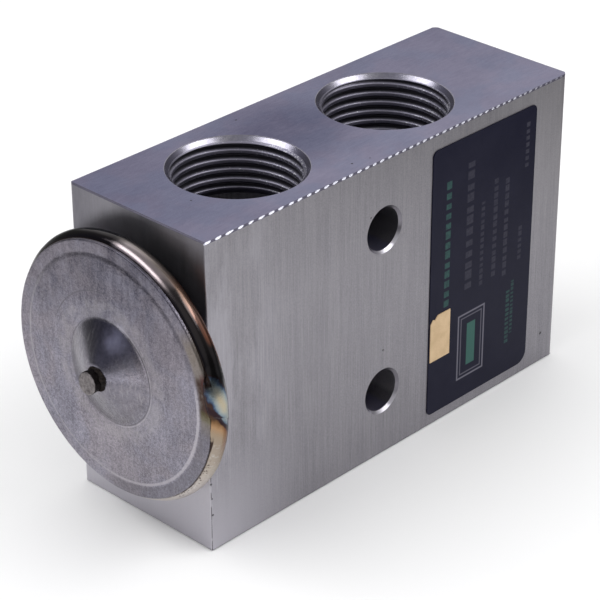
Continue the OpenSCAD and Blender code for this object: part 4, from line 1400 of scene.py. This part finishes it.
def buildThreads(settings):
    tree = makeThreadTree()
    for name, mountName, length, turned, startTurn in settings["ports"]:
        mount = mounts[mountName]
        root = mount["dims"]["r_mm"]
        mouth = blockLow.z if turned else blockHigh.z
        inset = settings["skin"] * mm * (1 if turned else -1)
        piece = growPiece(name, tree, {
            "Root Radius": (root - settings["skin"]) * mm,
            "Crest Radius": (root - settings["depth"]) * mm,
            "Wall Radius": (root + settings["wall"]) * mm,
            "Mouth Radius": (root + settings["countersink"] - 2 * settings["skin"]) * mm,
            "Pitch": settings["pitch"] * mm,
            "Length": length * mm,
            "Fade": settings["pitch"] * mm,
            "Crest Width": settings["crestWidth"],
            "Lead": settings["lead"] * mm,
            "Start Turn": startTurn,
            "Place": (mount["pos_m"][0], mount["pos_m"][1], mouth + inset),
            "Tilt": (math.pi if turned else 0.0, 0.0, 0.0),
        })
        finishPiece(piece, "thread", "housing", "block_aluminium")


buildThreads(threads)
print("ports tapped")


# Superheat spring
def makeSpringTree():
    # A coil along X with closed turns at both ends, ground flat there
    tree, out, given = newTree("coilSpring", "GeometryNodeTree", [("Geometry", "Geometry")], {
        "Wire Radius": 0.00045, "Coil Radius": 0.0037, "Open Turns": 2.5, "Closed Turns": 0.75,
        "Closed Pitch": 0.00092, "Length": 0.006, "Steps Per Turn": 64, "Place": (0, 0, 0),
        "Material": None, "First Turn": 0.0, "Last Turn": 4.0,
    })
    (
        wireRadius, coilRadius, openTurns, closedTurns, closedPitch, length, stepsPerTurn, place,
        material, firstTurn, lastTurn
    ) = given
    turns = lastTurn - firstTurn
    count = turns * stepsPerTurn + 1.0
    line = addNode(tree, "GeometryNodeMeshLine", {"Count": count})
    turn = addNode(tree, "GeometryNodeInputIndex") / stepsPerTurn + firstTurn
    closedRise = closedTurns * closedPitch
    end = length - wireRadius
    lastOpen = closedTurns + openTurns
    firstPart = smaller(turn, closedTurns) * closedPitch
    middlePart = remap(turn, closedTurns, lastOpen, 0.0, end - wireRadius - closedRise * 2.0, "LINEAR")
    lastPart = larger(turn - lastOpen, 0.0) * closedPitch
    rise = wireRadius + firstPart + (middlePart + lastPart)
    angle = turn * (2 * math.pi)
    coil = joinVector(rise, coilRadius * calc("COSINE", angle), coilRadius * calc("SINE", angle))
    wound = addNode(tree, "GeometryNodeSetPosition", {"Geometry": line, "Position": coil})
    path = addNode(tree, "GeometryNodeMeshToCurve", {"Mesh": wound})
    wire = addNode(tree, "GeometryNodeCurvePrimitiveCircle", {"Resolution": 18, "Radius": wireRadius})
    feeds = {"Curve": path, "Profile Curve": wire, "Fill Caps": True}
    swept = addNode(tree, "GeometryNodeCurveToMesh", feeds)
    x, y, z = splitVector(addNode(tree, "GeometryNodeInputPosition"))
    ending = wireRadius * 0.3
    ground = joinVector(smaller(larger(x, ending), length - ending), y, z)
    flat = addNode(tree, "GeometryNodeSetPosition", {"Geometry": swept, "Position": ground})
    return dressShape(tree, out, flat, material, Translation=place)


superheatSpring = {"wire": 0.45, "coil": 3.7, "openTurns": 2.5, "closedTurns": 0.75, "closedPitch": 0.9225}


def buildSpring(spring):
    # In two halves that meet at the middle: the valve's half rides on the housing, the adjusting screw's half on
    # nothing
    low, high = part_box("superheat_spring")
    middle = (low.x + high.x) / 2
    tree = makeSpringTree()
    turns = spring["openTurns"] + 2 * spring["closedTurns"]
    halves = {}
    ends = (("superheatCoilValveEnd", 0.0, turns / 2), ("superheatCoilScrewEnd", turns / 2, turns))
    for name, first, last in ends:
        halves[name] = growPiece(name, tree, {
            "Wire Radius": spring["wire"] * mm,
            "Coil Radius": spring["coil"] * mm,
            "Open Turns": spring["openTurns"],
            "Closed Turns": spring["closedTurns"],
            "Closed Pitch": spring["closedPitch"] * mm,
            "Length": high.x - low.x,
            "Place": (low.x, 0.0, axisHeight),
            "First Turn": first,
            "Last Turn": last,
        })
    valveEnd, screwEnd = halves.values()
    finishPiece(valveEnd, "spring", "housing", "spring_steel", "superheat_spring")
    stroke = next(joint for joint in frame["joints"] if joint["name"] == "valve_stroke")
    keep = 1 - stroke["range_m"][1] / (middle - low.x)
    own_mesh(valveEnd)
    finishPiece(screwEnd, "spring", None, "spring_steel", "superheat_spring")
    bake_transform(screwEnd)


buildSpring(superheatSpring)
print("spring wound")


# Table, world and lamps
studio = {
    "table": (0.90, 0.90, 0.905),
    "tableSize": 6.0,
    "background": 1.0,
    "softLight": 0.88,  # on matt surfaces
    "surround": 0.30,  # what metal mirrors of the dim room, overhead
    "skirting": 0.11,  # and near the floor
    "mirroredReach": (90.0, 200.0),  # millimetres between which the mirrored floor fades into the dim room
    "paleWall": (0.60, 0.58, 0.58),  # towards a pale wall behind the block
    "paleLevel": 0.95,
    "darkSide": (-0.93, 0.25, 0.20),  # towards the dark corner on the head's side
    "darkLevel": 0.19,
    "darkTint": (0.76, 0.78, 1.0),
    "backWall": (-0.60, -0.60, 0.45),  # towards a grey wall behind the photographer
    "backLevel": 0.55,
    "sideWall": (0.66, -0.66, 0.40),  # towards a grey wall on the label's side
    "sideLevel": 0.55,
    "aim": (0, 0, 0.025),  # the point on the part that the lamps turn to
    "lamps": [  # name, place, width, height and power
        ("rightSoftbox", (0.23, -0.39, 0.58), 0.56, 0.26, 1.45),
        ("leftSoftbox", (-0.41, 0.21, 0.57), 0.70, 0.26, 1.80),
    ],
}


def addTable(settings):
    half = settings["tableSize"] / 2
    mesh = bpy.data.meshes.new("table")
    corners = [(-half, -half, 0), (half, -half, 0), (half, half, 0), (-half, half, 0)]
    mesh.from_pydata(corners, [], [(0, 1, 2, 3)])
    table = addPiece("table", mesh)
    material, point = newMaterial("tableTop", settings["table"], 0.7, 0.0)
    mirrored = addNode(point.id_data, "ShaderNodeLightPath", out="Is Glossy Ray")
    away = distanceTo(point, (cadBounds[0][0] / mm, 0.0, 0.0))
    near, far = settings["mirroredReach"]
    dim = mirrored * remap(away, near, far)
    mesh.materials.append(paint(material, mixColour(dim, settings["table"], (settings["darkLevel"],) * 3)))


def addWorld(settings):
    world = bpy.data.worlds.new("studio")
    bpy.context.scene.world = world
    world.use_nodes = True
    tree = world.node_tree
    tree.nodes.clear()
    kinds = ("Is Camera Ray", "Is Glossy Ray", "Is Transmission Ray")
    cameraRay, glossyRay, clearRay = (addNode(tree, "ShaderNodeLightPath", out=kind) for kind in kinds)
    direction = addNode(tree, "ShaderNodeTexCoord", out="Generated")

    def towards(key, start, end):
        wall = tuple(Vector(settings[key]).normalized())
        return remap(vectorCalc("DOT_PRODUCT", direction, wall, "Value"), start, end)

    height = splitVector(direction)[2]
    room = remap(height, 0.15, 0.60, settings["skirting"], settings["surround"])
    walls = mixValue(towards("paleWall", 0.80, 0.95), room, settings["paleLevel"])
    walls = mixValue(towards("sideWall", 0.86, 0.97), walls, settings["sideLevel"])
    darkened = towards("darkSide", 0.20, 0.70)
    walls = mixValue(darkened, walls, settings["darkLevel"])
    behind = towards("backWall", 0.84, 0.96)
    darkened = darkened * (1.0 - behind)
    walls = mixValue(behind, walls, settings["backLevel"])
    level = mixValue(glossyRay, settings["softLight"], walls)
    seen = larger(cameraRay, clearRay)
    level = mixValue(seen, level, settings["background"])
    tinted = darkened * (glossyRay * (1.0 - seen))
    tint = mixColour(tinted, (1.0, 1.0, 1.0), settings["darkTint"])
    light = addNode(tree, "ShaderNodeBackground", {"Color": tint, "Strength": level})
    feed(tree.nodes.new("ShaderNodeOutputWorld").inputs["Surface"], light)


def addLamps(settings):
    for name, place, width, height, power in settings["lamps"]:
        data = bpy.data.lights.new(name, "AREA")
        data.shape = "RECTANGLE"
        data.size, data.size_y = width, height
        data.energy = power
        lamp = bpy.data.objects.new(name, data)
        lamp.location = place
        towards = Vector(settings["aim"]) - Vector(place)
        lamp.rotation_euler = towards.to_track_quat("-Z", "Y").to_euler()
        bpy.context.scene.collection.objects.link(lamp)


addTable(studio)
addWorld(studio)
addLamps(studio)
print("studio lit")
